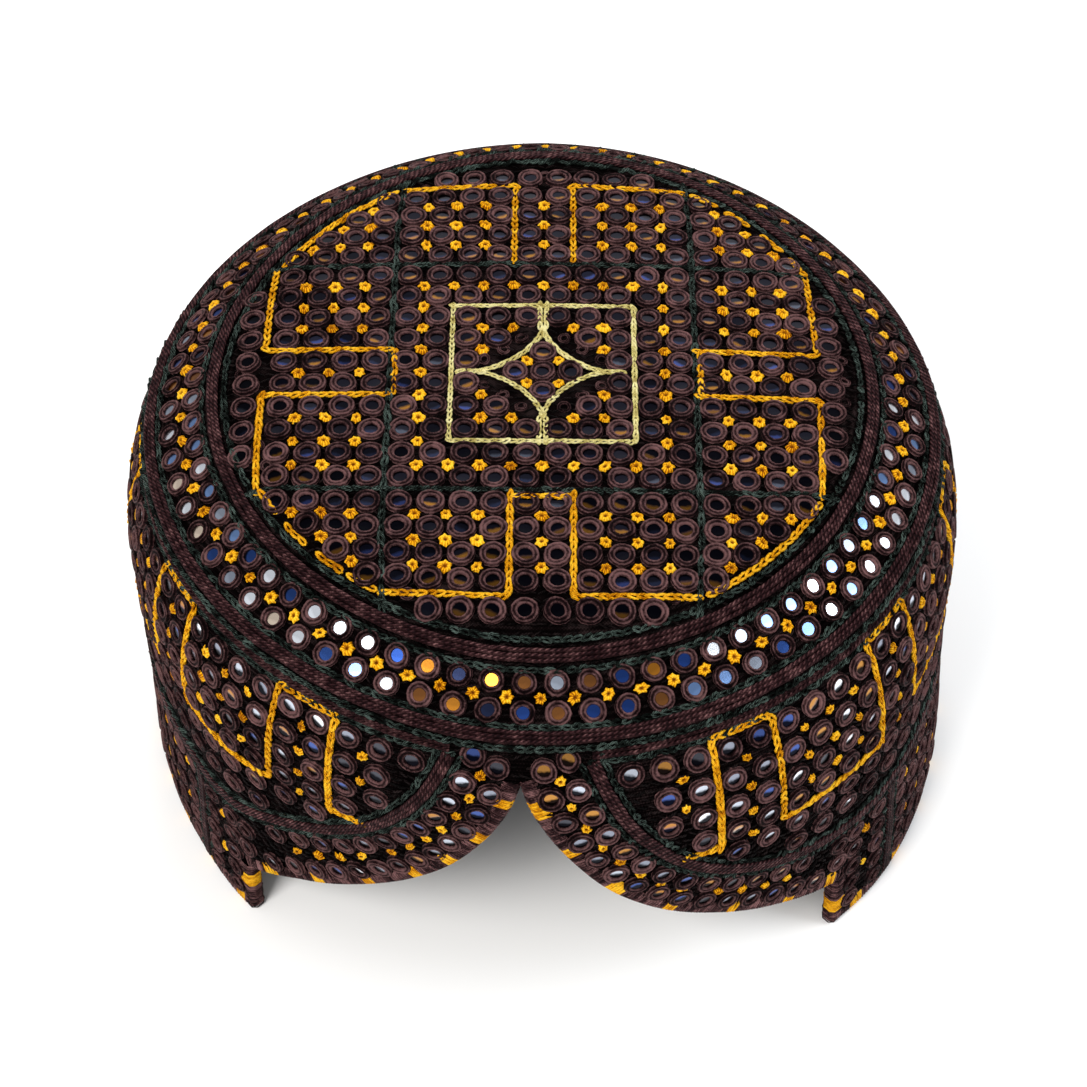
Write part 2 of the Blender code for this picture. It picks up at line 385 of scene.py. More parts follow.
def mixOf(tree, amount, first, second):
    mix = addNode(tree, "ShaderNodeMix", data_type="RGBA")
    tree.links.new(amount, mix.inputs["Factor"])
    for socket, value in ((mix.inputs["A"], first), (mix.inputs["B"], second)):
        if isinstance(value, tuple):
            socket.default_value = (*value, 1.0)
        else:
            tree.links.new(value, socket)
    return mix.outputs["Result"]


def attributeOf(tree, name):
    return addNode(tree, "ShaderNodeAttribute", attribute_name=name).outputs["Fac"]


def uvParts(tree):
    uv = addNode(tree, "ShaderNodeUVMap", uv_map="strand")
    parts = addNode(tree, "ShaderNodeSeparateXYZ")
    tree.links.new(uv.outputs["UV"], parts.inputs["Vector"])
    return parts.outputs["X"], parts.outputs["Y"]


def addBump(tree, shader, height, distance):
    bump = addNode(tree, "ShaderNodeBump")
    bump.inputs["Strength"].default_value = 1.0
    bump.inputs["Distance"].default_value = distance
    tree.links.new(height, bump.inputs["Height"])
    tree.links.new(bump.outputs["Normal"], shader.inputs["Normal"])


def threadMaterial(name, colors, strands, lean=0.0, paintedMiddleShade=None, laid=False, paintedCrestHighlight=0.0):
    # embroidery thread: strands across the piece's own UV, mottled along and between pieces;
    # a painted shade colour takes over towards the hollow middle of a round piece, and laid strands have
    # their own lengths instead of a UV; crests get painted highlights on the two ridges of a mirror's ring
    material, tree, shader = startMaterial(name, 0.5, specular=0.03)
    across, along = uvParts(tree)
    if laid:
        across, along = attributeOf(tree, "around"), attributeOf(tree, "along")
    leaning = mathOf(tree, "MULTIPLY_ADD", along, lean, across)
    wave = mathOf(tree, "SINE", mathOf(tree, "MULTIPLY", leaning, strands * 2 * math.pi))
    fuzz = noiseAt(tree, 2600, 4.0, 0.7)
    mottle = noiseAt(tree, 420, 3.0)
    tint = attributeOf(tree, "tint")
    shade = mathOf(tree, "MULTIPLY_ADD", wave, 0.16, mottle)
    shade = mathOf(tree, "MULTIPLY_ADD", mathOf(tree, "SUBTRACT", fuzz, 0.5), 0.7, shade)
    shade = mathOf(tree, "MULTIPLY_ADD", mathOf(tree, "SUBTRACT", tint, 0.5), 0.25, shade)
    # painted highlight: lighter thread along the two ridge crests of the ring
    if paintedCrestHighlight:
        across = mathOf(tree, "MULTIPLY", mathOf(tree, "SUBTRACT", along, 0.4), 5 * math.pi)
        paintedRidgeHighlight = mathOf(tree, "COSINE", across)
        shade = mathOf(tree, "MULTIPLY_ADD", paintedRidgeHighlight, paintedCrestHighlight, shade)
    color = rampOf(tree, shade, tuple(zip((0.22, 0.50, 0.80), colors)))
    # painted shade: the middle of a knot darkens towards the shade colour
    if paintedMiddleShade:
        amount = mathOf(tree, "MULTIPLY", mathOf(tree, "SUBTRACT", along, 0.55), 3.0)
        color = mixOf(tree, amount, color, paintedMiddleShade)
    tree.links.new(color, shader.inputs["Base Color"])
    height = mathOf(tree, "MULTIPLY_ADD", wave, 0.5, mathOf(tree, "MULTIPLY", fuzz, 0.9))
    addBump(tree, shader, height, 0.00018)
    return material


def clothMaterial(name, colors):
    # plain woven cotton under the stitches
    material, tree, shader = startMaterial(name, 0.9, specular=0.0)
    place = addNode(tree, "ShaderNodeTexCoord")
    parts = addNode(tree, "ShaderNodeSeparateXYZ")
    tree.links.new(place.outputs["Object"], parts.inputs["Vector"])
    threads = []
    for axis in ("X", "Y", "Z"):
        threads.append(mathOf(tree, "SINE", mathOf(tree, "MULTIPLY", parts.outputs[axis], 9000)))
    weave = mathOf(tree, "ADD", mathOf(tree, "MULTIPLY", threads[0], threads[1]), threads[2])
    mottle = noiseAt(tree, 160, 5.0)
    shade = mathOf(tree, "MULTIPLY_ADD", weave, 0.08, mottle)
    color = rampOf(tree, shade, tuple(zip((0.30, 0.55, 0.80), colors)))
    tree.links.new(color, shader.inputs["Base Color"])
    addBump(tree, shader, mathOf(tree, "ADD", weave, mottle), 0.00012)
    return material


def glassMaterial(name, stops, warmReflectionColor, warmReflectionShare, shade, litHigh=False):
    # silvered glass with painted light: each mirror takes its own painted reflection tone, one half is darkened
    # by painted shade from the ring, and some show a painted warm reflection in the lit half
    material, tree, shader = startMaterial(name, 0.22, metallic=1.0)
    reflectionTone = rampOf(tree, attributeOf(tree, "tint"), stops, "CONSTANT")
    across, along = uvParts(tree)
    # painted light: mask of the lit half, the lower half, or the upper half with litHigh
    wander = mathOf(tree, "MULTIPLY_ADD", noiseAt(tree, 900), 0.30, along)
    ends = (wander, 0.52) if litHigh else (0.62, wander)
    lit = mathOf(tree, "MULTIPLY", mathOf(tree, "SUBTRACT", *ends), 5.0)
    lit = mathOf(tree, "MINIMUM", mathOf(tree, "MAXIMUM", lit, 0.0), 1.0)
    # painted shade: the unlit half darkens towards near black
    paintedShade = mathOf(tree, "MULTIPLY", mathOf(tree, "SUBTRACT", 1.0, lit), shade)
    reflectionTone = mixOf(tree, paintedShade, reflectionTone, (0.002, 0.002, 0.004))
    # painted warm reflection in the lit half of a share of the mirrors
    chosen = mathOf(tree, "LESS_THAN", attributeOf(tree, "chance"), warmReflectionShare)
    amount = mathOf(tree, "MULTIPLY", mathOf(tree, "MULTIPLY", lit, chosen), 0.9)
    tree.links.new(mixOf(tree, amount, reflectionTone, warmReflectionColor), shader.inputs["Base Color"])
    return material


plumColors = ((0.003, 0.0009, 0.0012), (0.027, 0.0098, 0.0115), (0.300, 0.150, 0.148))
cordColors = ((0.005, 0.0014, 0.002), (0.038, 0.0140, 0.0155), (0.190, 0.092, 0.090))
greenColors = ((0.0006, 0.0010, 0.0008), (0.0045, 0.0068, 0.0055), (0.085, 0.120, 0.104))
yellowColors = ((0.260, 0.070, 0.001), (0.880, 0.380, 0.004), (1.000, 0.620, 0.040))
creamColors = ((0.340, 0.250, 0.060), (0.840, 0.730, 0.260), (1.000, 0.930, 0.520))
darkColors = ((0.0006, 0.0004, 0.0004), (0.0026, 0.0016, 0.0017), (0.022, 0.014, 0.014))
# painted shade colour for the hollow middle of the knots
knotPaintedShade = (0.220, 0.055, 0.003)

# the crests value is the strength of the painted highlight on the ring ridges
ringThread = threadMaterial("ring thread", plumColors, 18, lean=1.4, paintedCrestHighlight=0.17)
cordThread = threadMaterial("cord thread", cordColors, 3, lean=260, laid=True)
greenThread = threadMaterial("green thread", greenColors, 4, lean=2.0)
yellowThread = threadMaterial("yellow thread", yellowColors, 5, lean=2.0)
knotThread = threadMaterial("knot thread", yellowColors, 12, paintedMiddleShade=knotPaintedShade)
creamThread = threadMaterial("cream thread", creamColors, 5, lean=2.0)
darkThread = threadMaterial("ground thread", darkColors, 3, lean=2.0)
bindingThread = threadMaterial("binding thread", plumColors, 3, lean=0.3)
bindingYellow = threadMaterial("binding yellow thread", yellowColors, 3, lean=0.3)
clothBase = clothMaterial("ground cloth", darkColors)

# painted reflections: tone stops stand for what each mirror reflects, then the warm painted reflection colour,
# its share, and the depth of the painted shade
fieldGlassPaintedLight = glassMaterial(
    "field glass",
    ((0.0, (0.0030, 0.0032, 0.0050)), (0.45, (0.0060, 0.0080, 0.0180)), (0.76, (0.0120, 0.0180, 0.0600)),
     (0.92, (0.0200, 0.0230, 0.0320))),
    (0.105, 0.046, 0.007), 0.34, 0.96,
)
borderGlassPaintedLight = glassMaterial(
    "border glass",
    ((0.0, (0.016, 0.045, 0.190)), (0.26, (0.380, 0.150, 0.018)), (0.56, (0.190, 0.075, 0.022)),
     (0.72, (0.300, 0.340, 0.420)), (0.82, (0.010, 0.014, 0.035))),
    (0.50, 0.20, 0.03), 0.06, 0.2,
)
# brighter painted reflections, whites and blues, for the border mirrors on the front sides
brightGlassPaintedLight = glassMaterial(
    "bright border glass",
    ((0.0, (0.82, 0.86, 0.94)), (0.38, (0.160, 0.270, 0.520)), (0.60, (0.020, 0.050, 0.180)),
     (0.76, (0.300, 0.340, 0.420)), (0.88, (0.75, 0.62, 0.50))),
    (0.50, 0.20, 0.03), 0.04, 0.2,
)
# painted reflections of the wall mirrors, light in the upper half and painted shade below
wallGlassPaintedLight = glassMaterial(
    "wall glass",
    ((0.0, (0.060, 0.062, 0.075)), (0.22, (0.240, 0.260, 0.320)), (0.46, (0.060, 0.100, 0.300)),
     (0.62, (0.480, 0.520, 0.600)), (0.78, (0.420, 0.200, 0.050)), (0.92, (0.85, 0.88, 0.95))),
    (0.46, 0.20, 0.03), 0.14, 0.98, True,
)
print("materials made")


# Shapes that are sewn on many times

def turnedShape(name, around, rows, material, wobble=0.0, petals=0, seed=1):
    # ring shape: rows of (radius, height) from the outside in, with a UV map of strands
    chance = random.Random(seed)
    waves = [(count, chance.uniform(0, 2 * math.pi)) for count in (2, 3, 5)]
    shape = bmesh.new()
    strandMap = shape.loops.layers.uv.new("strand")
    columns = []
    for step in range(around):
        turn = 2 * math.pi * step / around
        swell = 1 + wobble * sum(math.sin(count * turn + start) for count, start in waves) / 3
        pull = 1 + 0.16 * math.cos(petals * turn) if petals else 1.0
        column = []
        for index, (radius, height) in enumerate(rows):
            reach = radius * swell * (pull if index < len(rows) - 1 else 1.0)
            column.append(shape.verts.new((reach * math.cos(turn), reach * math.sin(turn), height)))
        columns.append(column)
    last = len(rows) - 1
    for step in range(around):
        first, second = columns[step], columns[(step + 1) % around]
        for row in range(last):
            face = shape.faces.new((first[row], second[row], second[row + 1], first[row + 1]))
            face.smooth = True
            corners = ((step, row), (step + 1, row), (step + 1, row + 1), (step, row + 1))
            for loop, (u, v) in zip(face.loops, corners):
                loop[strandMap].uv = (u / around, v / last)
    return keepShape(name, shape, material)


def keepShape(name, shape, material):
    mesh = bpy.data.meshes.new(name)
    shape.to_mesh(mesh)
    shape.free()
    mesh.materials.append(material)
    return bpy.data.objects.new(name, mesh)


def discShape(name, radius, height, sides, material):
    shape = bmesh.new()
    strandMap = shape.loops.layers.uv.new("strand")
    corners = []
    for step in range(sides):
        turn = 2 * math.pi * step / sides
        corners.append(shape.verts.new((radius * math.cos(turn), radius * math.sin(turn), height)))
    face = shape.faces.new(corners)
    for loop in face.loops:
        place = loop.vert.co
        loop[strandMap].uv = (0.5 + place.x / radius / 2, 0.5 + place.y / radius / 2)
    return keepShape(name, shape, material)


def tubeShape(name, route, radius, sides, material, closed):
    # thread along a short route of points in the XY plane, lying on z = 0
    shape = bmesh.new()
    strandMap = shape.loops.layers.uv.new("strand")
    count = len(route)
    rings = []
    for index, place in enumerate(route):
        before = route[(index - 1) % count] if closed or index else place
        after = route[(index + 1) % count] if closed or index < count - 1 else place
        ahead = (Vector(after) - Vector(before)).normalized()
        aside = Vector((-ahead.y, ahead.x, 0.0)).normalized()
        thin = 1.0 if closed or 0 < index < count - 1 else 0.45
        ring = []
        for side in range(sides):
            turn = 2 * math.pi * side / sides
            out = aside * math.cos(turn) + Vector((0, 0, 1)) * math.sin(turn)
            ring.append(shape.verts.new(Vector(place) + out * radius * thin))
        rings.append(ring)
    spans = count if closed else count - 1
    for index in range(spans):
        first, second = rings[index], rings[(index + 1) % count]
        for side in range(sides):
            after = (side + 1) % sides
            face = shape.faces.new((first[side], first[after], second[after], second[side]))
            face.smooth = True
            corners = ((side, index), (side + 1, index), (side + 1, index + 1), (side, index + 1))
            for loop, (u, v) in zip(face.loops, corners):
                loop[strandMap].uv = (u / sides, v / spans)
    if not closed:
        shape.faces.new(rings[0])
        shape.faces.new(list(reversed(rings[-1])))
    bmesh.ops.recalc_face_normals(shape, faces=shape.faces)
    return keepShape(name, shape, material)


# Geometry Nodes trees

def startTree(name, inputs):
    tree = bpy.data.node_groups.new(name, "GeometryNodeTree")
    tree.interface.new_socket("Geometry", in_out="INPUT", socket_type="NodeSocketGeometry")
    tree.interface.new_socket("Geometry", in_out="OUTPUT", socket_type="NodeSocketGeometry")
    for label, kind, value in inputs:
        socket = tree.interface.new_socket(label, in_out="INPUT", socket_type=kind)
        if value is not None:
            socket.default_value = value
    return tree, addNode(tree, "NodeGroupInput"), addNode(tree, "NodeGroupOutput")


def namedVector(tree, name):
    node = addNode(tree, "GeometryNodeInputNamedAttribute", data_type="FLOAT_VECTOR")
    node.inputs["Name"].default_value = name
    return node.outputs["Attribute"]


def sewOn(tree, given, out, points, upward, forward):
    # instances of the shape on points, turned to the cloth, jittered, realized and finished
    link = tree.links.new
    shape = addNode(tree, "GeometryNodeObjectInfo", transform_space="ORIGINAL")
    link(given.outputs["Shape"], shape.inputs["Object"])
    face = addNode(tree, "FunctionNodeAxesToRotation", primary_axis="Z", secondary_axis="X")
    link(upward, face.inputs["Primary Axis"])
    link(forward, face.inputs["Secondary Axis"])

    lean = addNode(tree, "FunctionNodeRandomValue", data_type="FLOAT_VECTOR")
    spread = addNode(tree, "ShaderNodeCombineXYZ")
    link(given.outputs["Tilt"], spread.inputs["X"])
    link(given.outputs["Tilt"], spread.inputs["Y"])
    link(given.outputs["Turn"], spread.inputs["Z"])
    reverse = addNode(tree, "ShaderNodeVectorMath", operation="SCALE")
    link(spread.outputs[0], reverse.inputs[0])
    reverse.inputs["Scale"].default_value = -1.0
    link(reverse.outputs[0], lean.inputs["Min"])
    link(spread.outputs[0], lean.inputs["Max"])
    link(given.outputs["Seed"], lean.inputs["Seed"])
    nudge = addNode(tree, "FunctionNodeEulerToRotation")
    link(lean.outputs["Value"], nudge.inputs["Euler"])
    turned = addNode(tree, "FunctionNodeRotateRotation", rotation_space="LOCAL")
    link(face.outputs["Rotation"], turned.inputs["Rotation"])
    link(nudge.outputs["Rotation"], turned.inputs["Rotate By"])

    sizes = addNode(tree, "FunctionNodeRandomValue", data_type="FLOAT_VECTOR")
    low = addNode(tree, "ShaderNodeMath", operation="SUBTRACT")
    high = addNode(tree, "ShaderNodeMath", operation="ADD")
    for edge, socket in ((low, "Min"), (high, "Max")):
        link(given.outputs["Size"], edge.inputs[0])
        link(given.outputs["Unevenness"], edge.inputs[1])
        link(edge.outputs[0], sizes.inputs[socket])
    link(given.outputs["Seed"], sizes.inputs["Seed"])

    sewn = addNode(tree, "GeometryNodeInstanceOnPoints")
    link(points, sewn.inputs["Points"])
    link(shape.outputs["Geometry"], sewn.inputs["Instance"])
    link(turned.outputs["Rotation"], sewn.inputs["Rotation"])
    link(sizes.outputs["Value"], sewn.inputs["Scale"])
    result = sewn.outputs["Instances"]
    for offset, label in ((11, "tint"), (23, "chance")):
        value = addNode(tree, "FunctionNodeRandomValue", data_type="FLOAT")
        shifted = addNode(tree, "ShaderNodeMath", operation="ADD")
        link(given.outputs["Seed"], shifted.inputs[0])
        shifted.inputs[1].default_value = offset
        link(shifted.outputs[0], value.inputs["Seed"])
        store = addNode(tree, "GeometryNodeStoreNamedAttribute", data_type="FLOAT", domain="INSTANCE")
        store.inputs["Name"].default_value = label
        link(result, store.inputs["Geometry"])
        link(value.outputs[1], store.inputs["Value"])
        result = store.outputs["Geometry"]
    real = addNode(tree, "GeometryNodeRealizeInstances")
    link(result, real.inputs["Geometry"])
    finish = addNode(tree, "GeometryNodeSetMaterial")
    link(real.outputs["Geometry"], finish.inputs["Geometry"])
    link(given.outputs["Thread"], finish.inputs["Material"])
    link(finish.outputs["Geometry"], out.inputs["Geometry"])


sewInputs = (
    ("Shape", "NodeSocketObject", None),
    ("Size", "NodeSocketFloat", 1.0),
    ("Unevenness", "NodeSocketFloat", 0.05),
    ("Tilt", "NodeSocketFloat", 0.05),
    ("Turn", "NodeSocketFloat", 0.1),
    ("Seed", "NodeSocketInt", 1),
    ("Thread", "NodeSocketMaterial", None),
)

# single pieces sewn on marked spots
spotTree, given, out = startTree("sew on spots", sewInputs)
sewOn(spotTree, given, out, given.outputs["Geometry"],
      namedVector(spotTree, "up"), namedVector(spotTree, "along"))

# stitches laid one after another along a drawn line
lineTree, given, out = startTree("stitch along lines", sewInputs + (("Spacing", "NodeSocketFloat", 0.002),))
drawn = addNode(lineTree, "GeometryNodeMeshToCurve")
evened = addNode(lineTree, "GeometryNodeResampleCurve", mode="LENGTH")
heading = addNode(lineTree, "GeometryNodeInputTangent")
lineTree.links.new(given.outputs["Geometry"], drawn.inputs["Mesh"])
lineTree.links.new(drawn.outputs["Curve"], evened.inputs["Curve"])
lineTree.links.new(given.outputs["Spacing"], evened.inputs["Length"])
sewOn(lineTree, given, out, evened.outputs["Curve"],
      namedVector(lineTree, "up"), heading.outputs["Tangent"])

# round strands that follow a drawn line
cordTree, given, out = startTree("lay strands", (
    ("Radius", "NodeSocketFloat", 0.0006),
    ("Spacing", "NodeSocketFloat", 0.002),
    ("Sides", "NodeSocketInt", 7),
    ("Thread", "NodeSocketMaterial", None),
))
drawn = addNode(cordTree, "GeometryNodeMeshToCurve")
evened = addNode(cordTree, "GeometryNodeResampleCurve", mode="LENGTH")
section = addNode(cordTree, "GeometryNodeCurvePrimitiveCircle", mode="RADIUS")
tube = addNode(cordTree, "GeometryNodeCurveToMesh")
smooth = addNode(cordTree, "GeometryNodeSetShadeSmooth")
finish = addNode(cordTree, "GeometryNodeSetMaterial")
link = cordTree.links.new
link(given.outputs["Geometry"], drawn.inputs["Mesh"])
link(drawn.outputs["Curve"], evened.inputs["Curve"])
link(given.outputs["Spacing"], evened.inputs["Length"])
link(given.outputs["Sides"], section.inputs["Resolution"])
link(given.outputs["Radius"], section.inputs["Radius"])
routes = []
for source, label, output in (
    (evened.outputs["Curve"], "along", "Length"),
    (section.outputs["Curve"], "around", "Factor"),
):
    place = addNode(cordTree, "GeometryNodeSplineParameter")
    store = addNode(cordTree, "GeometryNodeStoreNamedAttribute", data_type="FLOAT", domain="POINT")
    store.inputs["Name"].default_value = label
    link(source, store.inputs["Geometry"])
    link(place.outputs[output], store.inputs["Value"])
    routes.append(store.outputs["Geometry"])
link(routes[0], tube.inputs["Curve"])
link(routes[1], tube.inputs["Profile Curve"])
tube.inputs["Fill Caps"].default_value = True
link(tube.outputs["Mesh"], smooth.inputs["Geometry"])
link(smooth.outputs["Geometry"], finish.inputs["Geometry"])
link(given.outputs["Thread"], finish.inputs["Material"])
link(finish.outputs["Geometry"], out.inputs["Geometry"])


def growPiece(name, mesh, tree, values, nodes=()):
    # run a tree on a drawn mesh, keep the plain result and ride it on the cap
    piece = bpy.data.objects.new(name, mesh)
    bpy.context.scene.collection.objects.link(piece)
    modifier = piece.modifiers.new("grow", "NODES")
    modifier.node_group = tree
    for item in tree.interface.items_tree:
        if item.item_type == "SOCKET" and item.in_out == "INPUT" and item.name in values:
            modifier[item.identifier] = values[item.name]
    state = bpy.context.evaluated_depsgraph_get()
    plain = bpy.data.meshes.new_from_object(
        piece.evaluated_get(state), preserve_all_data_layers=True, depsgraph=state
    )
    piece.modifiers.remove(modifier)
    piece.data = plain
    plain.name = name
    settle(piece, nodes)
    return piece


def settle(piece, nodes=()):
    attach(piece, "root")
    if nodes:
        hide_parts(*nodes)
    print(piece.name, len(piece.data.polygons), "faces")


def drawSpots(name, spots):
    # spots are (point, up, along)
    mesh = bpy.data.meshes.new(name)
    mesh.from_pydata([spot[0] for spot in spots], [], [])
    for label, index in (("up", 1), ("along", 2)):
        layer = mesh.attributes.new(label, "FLOAT_VECTOR", "POINT")
        layer.data.foreach_set("vector", [value for spot in spots for value in spot[index]])
    return mesh


def sewSpots(name, spots, values, nodes=()):
    growPiece(name, drawSpots(name, spots), spotTree, values, nodes)


def drawLines(name, lines):
    # lines are lists of (point, up), each open
    mesh = bpy.data.meshes.new(name)
    places, ups, edges = [], [], []
    for line in lines:
        first = len(places)
        for place, up in line:
            places.append(place)
            ups.extend(up)
        edges.extend((first + index, first + index + 1) for index in range(len(line) - 1))
    mesh.from_pydata(places, edges, [])
    layer = mesh.attributes.new("up", "FLOAT_VECTOR", "POINT")
    layer.data.foreach_set("vector", ups)
    return mesh


# Camera, at the photograph's angle above the floor

view = {
    "elevation": 50.98,
    "azimuth": 0.32,
    "distance": 0.6002,
    "focal": 2742.2,
    "frameWidth": 1087,
    "sensor": 36.0,
    "right": 0.00015,
    "up": -0.03784,
}
lean, turn = math.radians(view["elevation"]), math.radians(view["azimuth"])
ahead = Vector((-math.sin(turn) * math.cos(lean), math.cos(turn) * math.cos(lean), -math.sin(lean)))
aside = ahead.cross(Vector((0, 0, 1))).normalized()
upward = aside.cross(ahead)
apex = Vector((0, 0, cap["height"]))
camera = bpy.data.objects.new("photo camera", bpy.data.cameras.new("photo camera"))
camera.data.sensor_width = view["sensor"]
camera.data.lens = view["focal"] / view["frameWidth"] * view["sensor"]
camera.data.clip_start = 0.01
camera.matrix_world = Matrix.Translation(
    apex - ahead * view["distance"] + aside * view["right"] + upward * view["up"]
) @ Matrix((aside, upward, -ahead)).transposed().to_4x4()
bpy.context.scene.collection.objects.link(camera)
bpy.context.scene.camera = camera

# Cloth of the crown and the side wall

cloth = {"columns": 144, "rings": 10, "lobeColumns": 60, "backColumns": 150, "hemLift": 0.0007}


def makeCrownCloth():
    radii = [fieldRadius * index / cloth["rings"] for index in range(cloth["rings"] + 1)]
    radii += [fieldRadius + cap["slopeRun"] * share for share in (0.08, 0.16, 0.25, 0.34, 0.5, 0.67, 0.84, 1.0)]
    rows = [(radius, 0.0) for radius in radii]
    rows += [(radius, cap["crownThickness"] - cap["sink"]) for radius in reversed(radii)]
    shape = bmesh.new()
    columns = []
    for step in range(cloth["columns"]):
        turn = 2 * math.pi * step / cloth["columns"]
        columns.append([
            shape.verts.new((
                radius * math.sin(turn),
                -radius * math.cos(turn),
                crownHeight(radius, math.sin(turn), -math.cos(turn)) - depth,
            ))
            for radius, depth in rows
        ])
    for step in range(cloth["columns"]):
        first, second = columns[step], columns[(step + 1) % cloth["columns"]]
        for row in range(len(rows) - 1):
            shape.faces.new((first[row], first[row + 1], second[row + 1], second[row]))
    bmesh.ops.remove_doubles(shape, verts=shape.verts, dist=0.00001)
    bmesh.ops.dissolve_degenerate(shape, edges=shape.edges, dist=0.000001)
    bmesh.ops.recalc_face_normals(shape, faces=shape.faces)
    piece = keepShape("crown_cloth", shape, clothBase)
    piece.data.shade_smooth()
    piece.data.set_sharp_from_angle(angle=math.radians(50))
    bpy.context.scene.collection.objects.link(piece)
    settle(piece, ("crown",))


def makeWallCloth():
    half = cloth["lobeColumns"]
    angles = []
    for index in range(half, 0, -1):
        angles.append(cap["notchTurn"] - (index / half) ** 1.4 * (cap["notchTurn"] + cap["tabAngle"]))
    for index in range(half):
        angles.append(cap["notchTurn"] + (index / half) ** 1.4 * (cap["tabAngle"] - cap["notchTurn"]))
    for index in range(cloth["backColumns"]):
        angles.append(cap["tabAngle"] + (360 - 2 * cap["tabAngle"]) * index / cloth["backColumns"])
    levels = 16
    firstBack = 2 * half
    count = len(angles)
    shape = bmesh.new()
    upper, lower = [], {}
    for column, angle in enumerate(angles):
        low = lobeHeight(angle) if column < firstBack else cap["tabStep"]
        heights = [wallTop + (low - wallTop) * level / levels for level in range(levels + 1)]
        upper.append([shape.verts.new(onWall(angle, height)[0]) for height in heights])
    for column in [*range(firstBack, count), 0]:
        lower[column] = []
        for share in (0.66, 0.33, 0.0):
            height = cloth["hemLift"] + (cap["tabStep"] - cloth["hemLift"]) * share
            lower[column].append(shape.verts.new(onWall(angles[column], height)[0]))
    for column in range(count):
        after = (column + 1) % count
        left, right = upper[column], upper[after]
        if column >= firstBack:
            left, right = left + lower[column], right + lower[after]
        for level in range(len(left) - 1):
            shape.faces.new((left[level], left[level + 1], right[level + 1], right[level]))
    bmesh.ops.recalc_face_normals(shape, faces=shape.faces)
    if sum(face.normal.dot(face.calc_center_median()) for face in shape.faces) < 0:
        bmesh.ops.reverse_faces(shape, faces=shape.faces)
    piece = keepShape("wall_cloth", shape, clothBase)
    piece.data.shade_smooth()
    bpy.context.scene.collection.objects.link(piece)
    solid = piece.modifiers.new("cloth thickness", "SOLIDIFY")
    solid.thickness = cap["wallThickness"]
    solid.offset = -1.0
    settle(piece, ("side_wall",))


makeCrownCloth()
makeWallCloth()
print("cloth made")

# Laid cord bands, three strands each

cords = {
    "strandRadius": 0.00052,
    "strandStep": 0.00086,
    "lift": 0.00072,
    "wander": 0.00012,
    "wallWay": 0.0011,
    "spacing": 0.0022,
    "ringSteps": 180,
}


def ringLine(radius, lift, chance, wander):
    line = []
    for step in range(cords["ringSteps"] + 1):
        angle = 180 + 360 * step / cords["ringSteps"]
        line.append(onCrownRing(radius + chance.uniform(-wander, wander), angle, lift))
    return line


def besideRoute(route, asideAt):
    # route of (angle, height) moved sideways along the cloth; asideAt gives each step's distance
    moved = []
    last = len(route) - 1
    for index, (angle, height) in enumerate(route):
        before, after = route[max(index - 1, 0)], route[min(index + 1, last)]
        radius = wallRadius(height)
        run = math.radians(after[0] - before[0]) * radius
        climb = after[1] - before[1]
        length = math.hypot(run, climb)
        shift = asideAt()
        moved.append((
            angle - math.degrees(climb / length * shift / radius),
            height + run / length * shift,
        ))
    return moved


def wallLine(route, aside, lift, chance, wander):
    # line beside a route of (angle, height) pairs on the wall; aside is measured to its left
    moved = besideRoute(route, lambda: aside + chance.uniform(-wander, wander))
    return [onWall(angle, height, lift) for angle, height in moved]


topStart = cap["notchTurn"] + cap["panelTurn"]
topEnd = 360 + cap["notchTurn"] - cap["panelTurn"]


def topRoute(way):
    # route along the top of the panel, from one of its front corners round to the other
    height = heightDown(way)
    steps = cords["ringSteps"]
    return [(topStart + (topEnd - topStart) * step / steps, height) for step in range(steps + 1)]


panelRoute = []
fineSteps = 40
for step in range(fineSteps + 1):
    turn = cap["panelTurn"] + cap["panelRun"] * (step / fineSteps) ** 1.25
    panelRoute.append((cap["notchTurn"] + turn, panelHeightAt(turn)))
backSteps = 120
backStart = panelRoute[-1][0]
backEnd = 360 + 2 * cap["notchTurn"] - backStart
for step in range(1, backSteps):
    panelRoute.append((backStart + (backEnd - backStart) * step / backSteps, cap["panelHeight"]))
for step in range(fineSteps, -1, -1):
    turn = cap["panelTurn"] + cap["panelRun"] * (step / fineSteps) ** 1.25
    panelRoute.append((360 + cap["notchTurn"] - turn, panelHeightAt(turn)))


def tabRoute(side):
    angle = side * (cap["tabAngle"] + cap["tabCordTurn"])
    top = cap["panelHeight"] - cap["cordWidth"] / 2
    return [(angle, top + (0.0035 - top) * step / 12) for step in range(13)]


def layCord(name, lineMaker, node):
    chance = random.Random(len(name))
    lines = []
    for strand in (-1, 0, 1):
        lines.append(lineMaker(strand * cords["strandStep"], chance))
    values = {"Radius": cords["strandRadius"], "Spacing": cords["spacing"], "Sides": 7, "Thread": cordThread}
    growPiece(name, drawLines(name, lines), cordTree, values, (node,))


def crownCordLine(radius):
    return lambda shift, chance: ringLine(radius + shift * 0.95, cords["lift"], chance, cords["wander"])


def wallCordLine(route):
    return lambda shift, chance: wallLine(route, shift, cords["lift"], chance, cords["wander"])


layCord("crown_cord_strands", crownCordLine(crownCordRadius), "crown_cord")
layCord("rim_cord_strands", crownCordLine(rimCordRadius), "rim_cord")
layCord("wall_cord_strands", wallCordLine(topRoute(cords["wallWay"])), "wall_cord")
layCord("panel_cord_strands", wallCordLine(panelRoute), "panel_cord")
layCord("left_tab_strands", wallCordLine(tabRoute(-1)), "left_tab_cord")
layCord("right_tab_strands", wallCordLine(tabRoute(1)), "right_tab_cord")
print("cords laid")

# Mirrors in their thread rings

